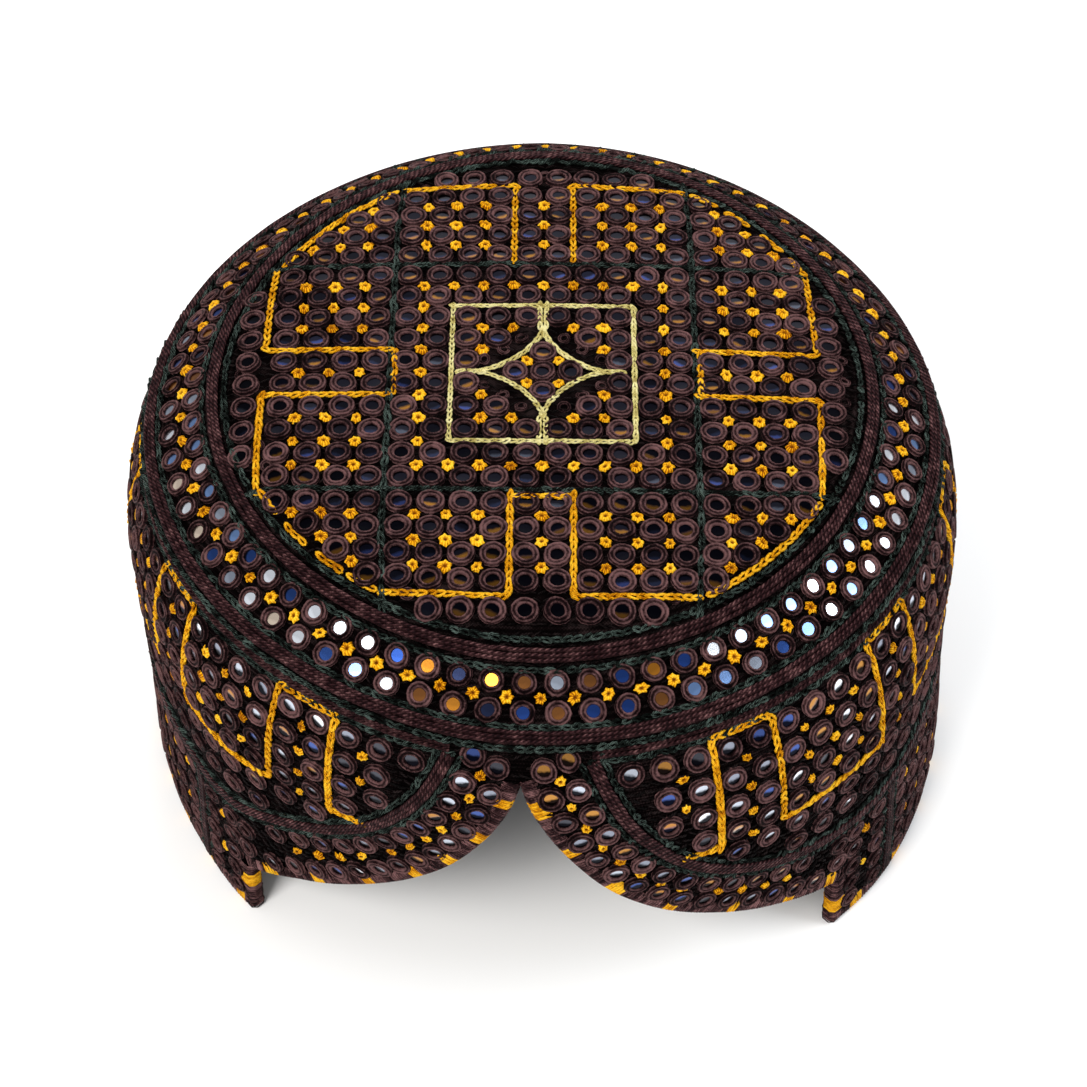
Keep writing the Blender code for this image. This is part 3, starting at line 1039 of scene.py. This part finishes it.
mirrors = {
    "ringRows": ((3.05, 0.00), (3.02, 0.72), (2.72, 1.02), (2.22, 0.80), (1.72, 1.02), (1.40, 0.25)),
    "ringAround": 14,
    "glassRadius": 1.55,
    "glassHeight": 0.42,
    "fieldPitch": 0.0067,
    "fieldReach": 10.3,
    "squeezeFrom": 0.058,
    "squeeze": 0.84,
    "leftEase": 1.1,
    "leftFrom": 0.78,
    "frontEase": 0.9,
    "frontFrom": 0.85,
    "borderRadii": (0.0769, 0.0823),
    "borderCount": 72,
    "borderSize": 0.93,
    "litAside": 0.030,
    "wallPitch": 0.0077,
    "wallFirst": 0.0069,
    "wallRows": 6,
    "columnStart": 14.25,
    "bandGap": 0.0041,
    "columns": 75,
    "skirtPitch": 0.0070,
}
unit = 0.001
ringShape = turnedShape(
    "mirror_ring", mirrors["ringAround"],
    [(radius * unit, height * unit) for radius, height in mirrors["ringRows"]],
    ringThread, wobble=0.05, seed=3,
)
glassShape = discShape(
    "mirror_glass", mirrors["glassRadius"] * unit, mirrors["glassHeight"] * unit, 12, fieldGlassPaintedLight,
)


def fieldPlace(column, row):
    # crown place of a cell on the square grid; rows grow towards the front
    x, y = column * mirrors["fieldPitch"], -row * mirrors["fieldPitch"]
    radius = math.hypot(x, y)
    if radius > mirrors["squeezeFrom"]:
        left = mirrors["leftEase"] * max(-x / radius - mirrors["leftFrom"], 0.0)
        front = mirrors["frontEase"] * max(-y / radius - mirrors["frontFrom"], 0.0)
        squeeze = mirrors["squeeze"] + left + front
        drawn = mirrors["squeezeFrom"] + (radius - mirrors["squeezeFrom"]) * squeeze
        x, y = x * drawn / radius, y * drawn / radius
    return x, y


def fieldSpot(column, row):
    x, y = fieldPlace(column, row)
    place, up = onCrown(x, y)
    return place, up, Vector((1, 0, 0))


def fieldMirrorCells():
    halves = [index + 0.5 for index in range(-9, 9)]
    cells = []
    for row in halves:
        for column in halves:
            inStar = abs(row) + abs(column) < 2.5 and abs(row) < 2 and abs(column) < 2
            if inStar and not (abs(row) == 1.5 and abs(column) == 1.5):
                continue
            if math.hypot(row, column) < mirrors["fieldReach"]:
                cells.append((column, row))
    cells += [(0, 0), (0.9, 0), (-0.9, 0), (0, 0.86), (0, -0.86)]
    for index in range(-4, 4):
        for edge in (-9.6, 9.6):
            cells += [(edge, index + 0.5), (index + 0.5, edge)]
    return cells


def borderSpot(radius, index):
    place, up = onCrownRing(radius, 360 * index / mirrors["borderCount"])
    return place, up, Vector((-place.y, place.x, 0)).normalized()


def wallSpot(angle, height):
    place, up = onWall(angle, height)
    turn = math.radians(angle)
    return place, up, Vector((math.cos(turn), math.sin(turn), 0))


def openGround(spots, sewn, clear):
    # spots that lie clear of every sewn one
    taken = KDTree(len(sewn))
    for index, spot in enumerate(sewn):
        taken.insert(spot[0], index)
    taken.balance()
    return [spot for spot in spots if taken.find(spot[0])[2] > clear]


columnStep = (360 - 2 * mirrors["columnStart"]) / (mirrors["columns"] - 1)
rowWays = [mirrors["wallFirst"] + mirrors["wallPitch"] * row for row in range(mirrors["wallRows"])]
rowHeights = [heightDown(way) for way in rowWays]
bandSamples = []
for step in range(0, 361):
    turn = cap["panelTurn"] + step * 0.25
    bandSamples.append((turn, panelHeightAt(turn)))


def bandDistance(turn, height):
    # distance along the cloth from the panel band's middle, positive above it
    turn = abs((turn + 180) % 360 - 180)
    if turn > cap["panelTurn"] + cap["panelRun"] + 8:
        return height - cap["panelHeight"]
    radius = wallRadius(height)
    nearest = min(
        math.hypot(math.radians(turn - sampleTurn) * radius, height - sampleHeight)
        for sampleTurn, sampleHeight in bandSamples
    )
    return nearest if height > panelHeightAt(turn) and turn > cap["panelTurn"] else -nearest


def columnTurn(column):
    return mirrors["columnStart"] + columnStep * column


def panelCells():
    cells = set()
    for column in range(mirrors["columns"]):
        for row, height in enumerate(rowHeights):
            if bandDistance(columnTurn(column), height) > mirrors["bandGap"]:
                cells.add((column, row))
    return cells


wallCells = panelCells()


def walkRoute(route, step):
    # spots of (turn, height) at even steps along a route
    spots = []
    due = 0.0
    walked = 0.0
    for (a, b), (c, d) in zip(route, route[1:]):
        length = math.hypot(math.radians(c - a) * wallRadius(b), d - b)
        while length and due <= walked + length:
            share = (due - walked) / length
            spots.append((a + (c - a) * share, b + (d - b) * share))
            due += step
        walked += length
    return spots


lobes = {
    "innerAside": 0.0050,
    "outerAside": 0.0048,
    "step": 0.0066,
    "highest": wallTop - 0.0020,
    "above": 0.0022,
    "tabGap": 0.0030,
    "end": 3.6,
}


def lobeRow(side, inner):
    # mirrors along the panel band or along the hem, as (angle, height) from the notch to a tab
    reach = cap["tabAngle"] - side * cap["notchTurn"]
    turns = [cap["panelTurn"] * inner + 0.25 * step for step in range(int(reach / 0.25))]
    if inner:
        drawn = [(cap["panelTurn"], lobes["highest"])] + [(turn, panelHeightAt(turn)) for turn in turns]
        route = besideRoute(drawn, lambda: -lobes["innerAside"])
    else:
        drawn = [(0.0, notchHeight + lobes["above"])]
        drawn += [(turn, lobeHeight(cap["notchTurn"] + side * turn)) for turn in turns if turn < reach]
        route = besideRoute(drawn, lambda: lobes["outerAside"])
    route = [spot for spot in route if spot[1] <= lobes["highest"] and spot[0] < reach - lobes["end"]]
    return [(cap["notchTurn"] + side * turn, height) for turn, height in walkRoute(route, lobes["step"])]


lobeRows = [(lobeRow(side, 1), lobeRow(side, 0)) for side in (-1, 1)]


def skirtCells():
    # rows below the level band, from the tabs round the back
    top = cap["panelHeight"] - 0.0062
    bottom = 0.0072
    rows = round((top - bottom) / mirrors["skirtPitch"]) + 1
    heights = [top + (bottom - top) * row / (rows - 1) for row in range(rows)]
    edge = cap["tabAngle"] + math.degrees(lobes["tabGap"] / wallRadii["hem"]) + 1.0
    cord = cap["tabAngle"] + cap["tabCordTurn"]
    clear = math.degrees(0.0052 / wallRadii["hem"])
    spans = (
        (edge, cord - clear),
        (cord + clear, 360 - cord - clear),
        (360 - cord + clear, 360 - edge),
    )
    cells = []
    for start, stop in spans:
        count = max(round(math.radians(stop - start) * wallRadii["hem"] / mirrors["skirtPitch"]), 1)
        angles = [start + (stop - start) * step / count for step in range(count + 1)]
        cells.append((angles, heights))
    return cells


skirt = skirtCells()


def ringValues(seed, size=1.0, tilt=0.06):
    return {
        "Shape": ringShape, "Size": size, "Unevenness": 0.045, "Tilt": tilt, "Turn": math.pi,
        "Seed": seed, "Thread": ringThread,
    }


def glassValues(finish, seed, size):
    return {
        "Shape": glassShape, "Size": size, "Unevenness": 0.02, "Tilt": 0.07, "Turn": 0.5,
        "Seed": seed, "Thread": finish,
    }


def sewMirrors(name, spots, finish, seed, size=1.0):
    sewSpots(name + "_rings", spots, ringValues(seed, size))
    sewSpots(name + "_glass", spots, glassValues(finish, seed + 1, size))


fieldSpots = [fieldSpot(column, row) for column, row in fieldMirrorCells()]
sewMirrors("field_mirror", fieldSpots, fieldGlassPaintedLight, 5)
borderSpots = [
    borderSpot(radius, index + 0.5)
    for radius in mirrors["borderRadii"] for index in range(mirrors["borderCount"])
]
sewSpots(
    "border_mirror_rings", borderSpots, ringValues(9, mirrors["borderSize"]), ("mirror_border",),
)
# painted light: border mirrors on the front sides get the brighter painted reflections, the rest the darker
# ones
litSpots = [spot for spot in borderSpots if spot[0].y < 0 and abs(spot[0].x) > mirrors["litAside"]]
dimSpots = [spot for spot in borderSpots if spot not in litSpots]
for name, spots, finish, seed in (
    ("border_mirror_glass", dimSpots, borderGlassPaintedLight, 10),
    ("side_border_glass", litSpots, brightGlassPaintedLight, 11),
):
    sewSpots(name, spots, glassValues(finish, seed, mirrors["borderSize"]))
panelSpots = [
    wallSpot(cap["notchTurn"] + columnTurn(column), rowHeights[row])
    for column, row in sorted(wallCells)
]
sewMirrors("panel_mirror", panelSpots, wallGlassPaintedLight, 13)
skirtPlaces = [place for rows in lobeRows for row in rows for place in row]
for angles, heights in skirt:
    skirtPlaces += [(angle, height) for angle in angles for height in heights]
for angle in (-cap["tabAngle"] + 0.4, cap["tabAngle"] - 0.4):
    skirtPlaces += [(angle, height) for height in skirt[0][1] if height > cap["tabStep"] + 0.004]
skirtSpots = [wallSpot(angle, height) for angle, height in skirtPlaces]
sewMirrors("skirt_mirror", skirtSpots, wallGlassPaintedLight, 17, 0.95)
print("mirrors sewn")

# Yellow knots between the mirrors

knots = {
    "rows": ((1.62, 0.10), (1.28, 0.90), (0.82, 1.05), (0.45, 0.55), (0.05, 0.45)),
    "around": 12,
    "petals": 6,
    "borderRadius": 0.0796,
    "lineGap": 0.0024,
    "degreeLength": 0.00165,
}
knotShape = turnedShape(
    "knot", knots["around"], [(radius * unit, height * unit) for radius, height in knots["rows"]],
    knotThread, wobble=0.14, petals=knots["petals"], seed=8,
)


def fieldKnotCells():
    cells = [(0.52, 0.5), (-0.52, 0.5), (0.52, -0.5), (-0.52, -0.5)]
    for sideX in (-1, 1):
        for sideY in (-1, 1):
            cells += [(2 * sideX, 2 * sideY), (sideX, 2 * sideY), (2 * sideX, sideY)]
            for far in (6, 7, 8):
                for near in (2, 3, 4):
                    cells += [(far * sideX, near * sideY), (near * sideX, far * sideY)]
            for column, row in ((6, 6), (7, 6), (6, 7), (8, 6), (6, 8), (7, 7)):
                cells.append((column * sideX, row * sideY))
    for step in range(-4, 5):
        for side in (-4, 4):
            cells.append((side, step))
            if abs(step) < 4:
                cells.append((step, side))
    for step in (-8, -7, -6, 6, 7, 8):
        cells += [(step, 0), (0, step)]
    return cells


def meanderRoute(half):
    # yellow line that climbs over two columns and runs low under four, from the notch to the back
    low = (rowWays[3] + rowWays[4]) / 2
    high = rowWays[0] - 0.0034
    route = [(columnTurn(1.5), low)]
    column = 2.5
    while column < half:
        route += [(columnTurn(column), low), (columnTurn(column), high)]
        route += [(columnTurn(column + 2), high), (columnTurn(column + 2), low)]
        column += 6
    route.append((columnTurn(half), low))
    return route


meanderHalf = (mirrors["columns"] - 1) / 2
meander = meanderRoute(meanderHalf)


def meanderClear(turn, way):
    turn = abs((turn + 180) % 360 - 180)
    for (a, b), (c, d) in zip(meander, meander[1:]):
        nearTurn = min(max(turn, min(a, c)), max(a, c))
        nearWay = min(max(way, min(b, d)), max(b, d))
        if math.hypot(math.radians(turn - nearTurn) * wallRadii["shoulder"], way - nearWay) < knots["lineGap"]:
            return False
    return True


def wallKnots():
    spots = []
    for column in range(mirrors["columns"] - 1):
        for row in range(mirrors["wallRows"] - 1):
            corners = {(column, row), (column + 1, row), (column, row + 1), (column + 1, row + 1)}
            turn = columnTurn(column + 0.5)
            way = (rowWays[row] + rowWays[row + 1]) / 2
            if corners <= wallCells and row < 4 and meanderClear(turn, way):
                spots.append(wallSpot(cap["notchTurn"] + turn, heightDown(way)))
    return spots


def skirtKnots():
    spots = []
    for inner, outer in lobeRows:
        for first, second in zip(inner, inner[1:]):
            middle = ((first[0] + second[0]) / 2, (first[1] + second[1]) / 2)
            near = sorted(outer, key=lambda place: math.hypot(
                (place[0] - middle[0]) * knots["degreeLength"], place[1] - middle[1],
            ))
            angle = (first[0] + second[0] + near[0][0] + near[1][0]) / 4
            spots.append(wallSpot(angle, (first[1] + second[1] + near[0][1] + near[1][1]) / 4))
    for angles, heights in skirt:
        for first, second in zip(angles, angles[1:]):
            for row in range(len(heights) - 1):
                if row % 2:
                    continue
                spots.append(wallSpot((first + second) / 2, (heights[row] + heights[row + 1]) / 2))
    return spots


knotSpots = [fieldSpot(column, row) for column, row in fieldKnotCells()]
knotSpots += [borderSpot(knots["borderRadius"], index) for index in range(mirrors["borderCount"])]
wallKnotSpots = wallKnots() + skirtKnots()
knotValues = {
    "Shape": knotShape, "Size": 0.84, "Unevenness": 0.16, "Tilt": 0.15, "Turn": math.pi,
    "Seed": 21, "Thread": knotThread,
}
sewSpots("crown_knots", knotSpots, knotValues)
sewSpots("wall_knots", wallKnotSpots, {**knotValues, "Seed": 22, "Size": 0.72})
print("knots tied")

# Chain stitch lines

chain = {
    "linkLength": 3.1,
    "linkWidth": 1.75,
    "threadRadius": 0.33,
    "points": 10,
    "spacing": 0.0021,
    "lift": 0.00055,
    "wallWay": 0.0032,
    "ringRadii": (0.0697, 0.0748, 0.0849),
    "arcRadius": 0.0682,
    "edgeLift": 0.0003,
    "edgeDrop": 0.0011,
}


def linkRoute():
    # a drop-shaped loop, narrow where the next one starts
    route = []
    for step in range(chain["points"]):
        turn = 2 * math.pi * step / chain["points"]
        narrow = 0.62 + 0.38 * math.cos(turn / 2) ** 2
        x = -math.cos(turn) * (chain["linkLength"] / 2 - chain["threadRadius"])
        y = math.sin(turn) * (chain["linkWidth"] / 2 - chain["threadRadius"]) * (1.35 - narrow)
        route.append((x * unit, y * unit * 1.6, 0.25 * math.cos(turn) * unit))
    return route


linkShape = tubeShape("chain_link", linkRoute(), chain["threadRadius"] * unit, 4, greenThread, True)


def straightLine(cells, steps=24):
    # polyline through field cells, drawn on the crown
    line = []
    for (a, b), (c, d) in zip(cells, cells[1:]):
        for step in range(steps):
            share = step / steps
            line.append(onCrown(*fieldPlace(a + (c - a) * share, b + (d - b) * share), chain["lift"]))
    line.append(onCrown(*fieldPlace(*cells[-1]), chain["lift"]))
    return line


def crownArc(radius, start, stop):
    count = max(int(abs(stop - start) / 2), 4)
    return [
        onCrownRing(radius, start + (stop - start) * step / count, chain["lift"])
        for step in range(count + 1)
    ]


def edgeArc():
    # line on the crown's cut edge, between the rim cord and the wall cord
    line = []
    for step in range(cords["ringSteps"] + 1):
        turn = math.radians(180 + 360 * step / cords["ringSteps"])
        up = Vector((math.sin(turn) * 0.85, -math.cos(turn) * 0.85, 0.53))
        radius = cap["rimRadius"] + chain["edgeLift"]
        rise = riseAt((math.degrees(turn) + 180) % 360 - 180)
        height = cap["height"] - cap["crownDrop"] - chain["edgeDrop"] + rise
        line.append((Vector((radius * math.sin(turn), -radius * math.cos(turn), height)), up))
    return line


def wallTurns(route):
    # line on the wall through (angle, way down) corners, on both sides of the notch
    sides = []
    for side in (1, -1):
        line = []
        for (a, b), (c, d) in zip(route, route[1:]):
            steps = max(int(math.hypot(math.radians(c - a) * wallRadii["hem"], d - b) / 0.002), 2)
            for step in range(steps):
                share = step / steps
                angle = cap["notchTurn"] + side * (a + (c - a) * share)
                line.append(onWall(angle, heightDown(b + (d - b) * share), chain["lift"]))
        turn, way = route[-1]
        line.append(onWall(cap["notchTurn"] + side * turn, heightDown(way), chain["lift"]))
        sides.append(line)
    return sides


still = random.Random(1)
greenCrown = [crownArc(radius, 180, 540) for radius in chain["ringRadii"]]
greenCrown.append(edgeArc())
for line in (-5, 5):
    greenCrown.append(straightLine([(line, -9.6), (line, -5), (line, 0), (line, 5), (line, 9.6)]))
    greenCrown.append(straightLine([(-9.6, line), (-5, line), (0, line), (5, line), (9.6, line)]))

bandAside = cords["strandStep"] * 1.5 + 0.0010
greenWall = [wallLine(topRoute(chain["wallWay"]), 0.0, chain["lift"], still, 0.0)]
for side in (-1, 1):
    greenWall.append(wallLine(panelRoute, side * bandAside, chain["lift"], still, 0.0))
    for tab in (-1, 1):
        greenWall.append(wallLine(tabRoute(tab), side * bandAside, chain["lift"], still, 0.0))

yellowCrown = []
for sideX in (-1, 1):
    for sideY in (-1, 1):
        for corners in (((5.1, 1), (9.1, 1), (9.1, 4.9)), ((1, 5.22), (1, 9.1), (4.9, 9.1))):
            yellowCrown.append(straightLine([(column * sideX, row * sideY) for column, row in corners]))
for ends in (((-4.85, -0.8), (-4.85, 0.8)), ((5.15, -0.8), (5.15, 0.8)), ((-0.8, 5.24), (0.8, 5.24))):
    yellowCrown.append(straightLine(ends))
for start in (31, 211):
    yellowCrown.append(crownArc(chain["arcRadius"], start, start + 28))
for start in (300, 309, 318, 325, 120, 128, 137, 145):
    yellowCrown.append(crownArc(chain["arcRadius"], start, start + 4))

# loose coils of thread in the cream square and in the free places round the field
coils = {
    "cells": ((0.70, 1.52), (1.30, 1.02), (1.92, 0.58)),
    "around": 132,
    "radii": (0.0645, 0.0662),
    "clear": 0.0034,
    "seed": 19,
    "size": 0.5,
    "tilt": 0.3,
}
rimCoils = []
for index in range(coils["around"]):
    place, up = onCrownRing(coils["radii"][index % 2], index * 360 / coils["around"])
    rimCoils.append((place, up, Vector((1, 0, 0))))
coilSpots = [
    fieldSpot(across * sideX, down * sideY)
    for sideX in (-1, 1) for sideY in (-1, 1) for across, down in coils["cells"]
]
coilSpots += openGround(rimCoils, fieldSpots + knotSpots, coils["clear"])
sewSpots("thread_coils", coilSpots, ringValues(coils["seed"], coils["size"], coils["tilt"]))

creamCrown = [straightLine([(-3, -3), (3, -3), (3, 3), (-3, 3), (-3, -3)])]
star = {"acrossLeft": 2.25, "acrossRight": 2.1, "down": 1.95, "power": 0.67, "steps": 9}
for sideX, across in ((-1, star["acrossLeft"]), (1, star["acrossRight"])):
    for sideY in (-1, 1):
        cells = [(0.12 * sideX, 3 * sideY), (0.10 * sideX, star["down"] * sideY)]
        for step in range(1, star["steps"] + 1):
            share = math.sin(math.pi / 2 * step / star["steps"]) ** (2 / star["power"])
            rest = math.cos(math.pi / 2 * step / star["steps"]) ** (2 / star["power"])
            cells.append((across * share * sideX, star["down"] * rest * sideY))
        cells.append(((across + 0.45) * sideX, 0.0))
        creamCrown.append(straightLine(cells, 4))

chainValues = {
    "Shape": linkShape, "Size": 1.0, "Unevenness": 0.10, "Tilt": 0.14, "Turn": 0.16,
    "Spacing": chain["spacing"], "Seed": 31, "Thread": greenThread,
}


def stitchChain(name, lines, thread, seed, **changes):
    values = {**chainValues, "Thread": thread, "Seed": seed, **changes}
    growPiece(name, drawLines(name, lines), lineTree, values)


stitchChain("green_crown_chain", greenCrown, greenThread, 31, Unevenness=0.18, Tilt=0.3, Turn=0.35)
stitchChain("green_wall_chain", greenWall, greenThread, 32, Unevenness=0.18, Tilt=0.3, Turn=0.35)
stitchChain("yellow_crown_chain", yellowCrown, yellowThread, 33, Size=1.05, Spacing=0.0019)
stitchChain("yellow_wall_chain", wallTurns(meander), yellowThread, 34, Size=1.15, Spacing=0.0020)
stitchChain("cream_crown_chain", creamCrown, creamThread, 35, Size=0.85, Spacing=0.0015)
print("chains stitched")

# Running stitches that cover the ground between the mirrors

ground = {"length": 2.5, "radius": 0.30, "alongStep": 0.0021, "rowStep": 0.0018, "clear": 0.0025}
stitchRoute = [
    (-0.50 * ground["length"] * unit, 0.0, -0.1 * unit),
    (-0.28 * ground["length"] * unit, 0.05 * unit, 0.14 * unit),
    (0.28 * ground["length"] * unit, -0.05 * unit, 0.14 * unit),
    (0.50 * ground["length"] * unit, 0.0, -0.1 * unit),
]
stitchShape = tubeShape("ground_stitch", stitchRoute, ground["radius"] * unit, 3, darkThread, False)


def steps(start, stop, step):
    return [start + step * index for index in range(int((stop - start) / step) + 1)]


def crownGround():
    reach = crownCordRadius
    spots = []
    for row, y in enumerate(steps(-reach, reach, ground["rowStep"])):
        for x in steps(-reach + ground["alongStep"] * (row % 2) / 2, reach, ground["alongStep"]):
            if math.hypot(x, y) < reach:
                spots.append((*onCrown(x, y), Vector((1, 0, 0))))
    for row, radius in enumerate(steps(crownCordRadius + 0.0016, rimCordRadius, ground["rowStep"])):
        turnStep = math.degrees(ground["alongStep"] / radius)
        for angle in steps(turnStep * (row % 2) / 2, 360 - turnStep, turnStep):
            place, up = onCrownRing(radius, angle)
            spots.append((place, up, Vector((-place.y, place.x, 0)).normalized()))
    return openGround(spots, fieldSpots + borderSpots, ground["clear"])


def wallGround():
    spots = []
    turnStep = math.degrees(ground["alongStep"] / wallRadii["shoulder"])
    for row, height in enumerate(steps(0.0034, wallTop - 0.0004, ground["rowStep"])):
        for angle in steps(-180 + turnStep * (row % 2) / 2, 180 - turnStep, turnStep):
            if abs(angle) > cap["tabAngle"] + 1 or height > lobeHeight(angle) + 0.003:
                spots.append(wallSpot(angle, height))
    return openGround(spots, panelSpots + skirtSpots, ground["clear"])


groundValues = {
    "Shape": stitchShape, "Size": 1.0, "Unevenness": 0.22, "Tilt": 0.12, "Turn": 0.6,
    "Seed": 41, "Thread": darkThread,
}
sewSpots("crown_ground_stitches", crownGround(), groundValues)
wallStitches = wallGround()
for name, side in (("front_ground_stitches", -1), ("back_ground_stitches", 1)):
    chosen = [spot for spot in wallStitches if (spot[0].y > 0) == (side > 0)]
    sewSpots(name, chosen, {**groundValues, "Seed": 42})
print("ground stitched")

# Bound hem, dark thread with yellow patches

hem = {
    "width": 0.85,
    "spacing": 0.00078,
    "outerReach": 3.3,
    "innerReach": 3.0,
    "rise": 0.55,
    "under": 0.62,
    "patchEvery": 0.0150,
    "patchWidth": 0.0036,
    "notchGap": 0.0008,
    "lobeSteps": 120,
    "tabSteps": 6,
    "backSteps": 200,
}


def wrapShape(name, material, reach):
    # one stitch over the hem: up the outer face, round the edge and up the inner face
    thick = cap["wallThickness"] / unit
    section = (
        (reach, 0.0), (reach * 0.8, hem["rise"] * 0.9),
        (reach * 0.4, hem["rise"] * 1.15), (0.3, hem["rise"]),
        (-hem["under"], -0.6), (-hem["under"], 0.6 - thick),
        (0.4, -thick - 0.45), (hem["innerReach"], -thick),
    )
    shape = bmesh.new()
    strandMap = shape.loops.layers.uv.new("strand")
    rows = []
    for index, (y, z) in enumerate(section):
        row = []
        for x, drop in ((-0.5, 0.22), (0.0, 0.0), (0.5, 0.22)):
            inward = Vector((0, -y, 0)) if index > 3 else Vector((0, 0, -z))
            inward = inward.normalized() * drop if inward.length else Vector()
            if 3 < index < 6:
                inward = Vector((0, drop, 0))
            if index >= 6:
                inward = Vector((0, 0, drop))
            corner = ((x * hem["width"]) * unit, (y + inward.y) * unit, (z + inward.z) * unit)
            row.append(shape.verts.new(corner))
        rows.append(row)
    for index, (first, second) in enumerate(zip(rows, rows[1:])):
        for side in range(2):
            face = shape.faces.new((first[side], second[side], second[side + 1], first[side + 1]))
            face.smooth = True
            corners = ((side, index), (side, index + 1), (side + 1, index + 1), (side + 1, index))
            for loop, (u, v) in zip(face.loops, corners):
                loop[strandMap].uv = (u / 2, v / (len(section) - 1))
    return keepShape(name, shape, material)


def hemRoute():
    # lower edge of the cap as (angle, height), from the left tab over the lobes and round the back
    route = []
    low = cloth["hemLift"]
    for step in range(hem["lobeSteps"] + 1):
        angle = -cap["tabAngle"] + 2 * cap["tabAngle"] * step / hem["lobeSteps"]
        route.append((angle, lobeHeight(angle)))
    notch = min(range(len(route)), key=lambda index: abs(route[index][0] - cap["notchTurn"]))
    route[notch] = (cap["notchTurn"], notchHeight)
    back = 360 - 2 * cap["tabAngle"]
    for first, run, start, climb, count in (
        (cap["tabAngle"], 0, cap["tabStep"], low - cap["tabStep"], hem["tabSteps"]),
        (cap["tabAngle"], back, low, 0, hem["backSteps"]),
        (360 - cap["tabAngle"], 0, low, cap["tabStep"] - low, hem["tabSteps"]),
    ):
        for step in range(1, count + 1):
            route.append((first + run * step / count, start + climb * step / count))
    return route


def hemSpots():
    dark, yellow = [], []
    route = hemRoute()
    spots = walkRoute(route, hem["spacing"])
    chance = random.Random(7)
    due, width = hem["patchEvery"] * 0.4, hem["patchWidth"]
    for index in range(1, len(spots) - 1):
        (a, b), (c, d), (e, f) = spots[index - 1], spots[index], spots[index + 1]
        if d > notchHeight - hem["notchGap"]:
            continue
        place, up = onWall(c, d)
        ahead = (onWall(e, f)[0] - onWall(a, b)[0]).normalized()
        along = index * hem["spacing"]
        if along > due + width:
            due = along + hem["patchEvery"] * chance.uniform(0.6, 0.95)
            width = hem["patchWidth"] * chance.uniform(0.7, 1.35)
        (yellow if along > due else dark).append((place, up, ahead))
    return dark, yellow


darkHem, yellowHem = hemSpots()
wrapValues = {"Size": 1.0, "Unevenness": 0.05, "Tilt": 0.02, "Turn": 0.09, "Seed": 51}
darkWrap = wrapShape("hem_wrap", bindingThread, hem["outerReach"])
yellowWrap = wrapShape("hem_patch_wrap", bindingYellow, hem["outerReach"] + 0.5)
sewSpots("hem_binding", darkHem, {**wrapValues, "Shape": darkWrap, "Thread": bindingThread})
sewSpots("hem_patches", yellowHem, {
    **wrapValues, "Shape": yellowWrap, "Thread": bindingYellow, "Seed": 52,
})
print("hem bound")

# Floor and light

studio = {"floorSize": 8.0, "floorTone": (0.90, 0.90, 0.90), "worldStrength": 0.7}
floorMesh = bpy.data.meshes.new("studio_floor")
half = studio["floorSize"] / 2
corners = [(-half, -half, 0), (half, -half, 0), (half, half, 0), (-half, half, 0)]
floorMesh.from_pydata(corners, [], [(0, 1, 2, 3)])
floorMaterial, floorTree, floorShader = startMaterial("studio paper", 0.9)
paper = rampOf(floorTree, noiseAt(floorTree, 3.0), ((0.0, (0.88, 0.88, 0.88)), (1.0, studio["floorTone"])))
floorTree.links.new(paper, floorShader.inputs["Base Color"])
floorMesh.materials.append(floorMaterial)
floor = bpy.data.objects.new("studio_floor", floorMesh)
bpy.context.scene.collection.objects.link(floor)

world = bpy.data.worlds.new("studio")
world.use_nodes = True
world.node_tree.nodes["Background"].inputs["Color"].default_value = (1.0, 1.0, 1.0, 1.0)
bpy.context.scene.view_settings.view_transform = "Standard"
world.node_tree.nodes["Background"].inputs["Strength"].default_value = studio["worldStrength"]
bpy.context.scene.world = world

# name, place, size, watts, colour
lamps = (
    ("key light", (-0.5, -0.7, 1.0), 0.5, 14.0, (1.0, 0.98, 0.95)),
    ("side light", (0.9, -0.1, 0.7), 0.5, 6.0, (0.92, 0.96, 1.0)),
    ("back light", (0.1, 1.0, 0.8), 0.7, 7.0, (1.0, 1.0, 1.0)),
)
for name, place, size, watts, color in lamps:
    data = bpy.data.lights.new(name, "AREA")
    data.size = size
    data.energy = watts
    data.color = color
    lamp = bpy.data.objects.new(name, data)
    lamp.location = place
    lamp.rotation_euler = (Vector((0, 0, 0.05)) - Vector(place)).to_track_quat("-Z", "Y").to_euler()
    bpy.context.scene.collection.objects.link(lamp)
print("studio set")
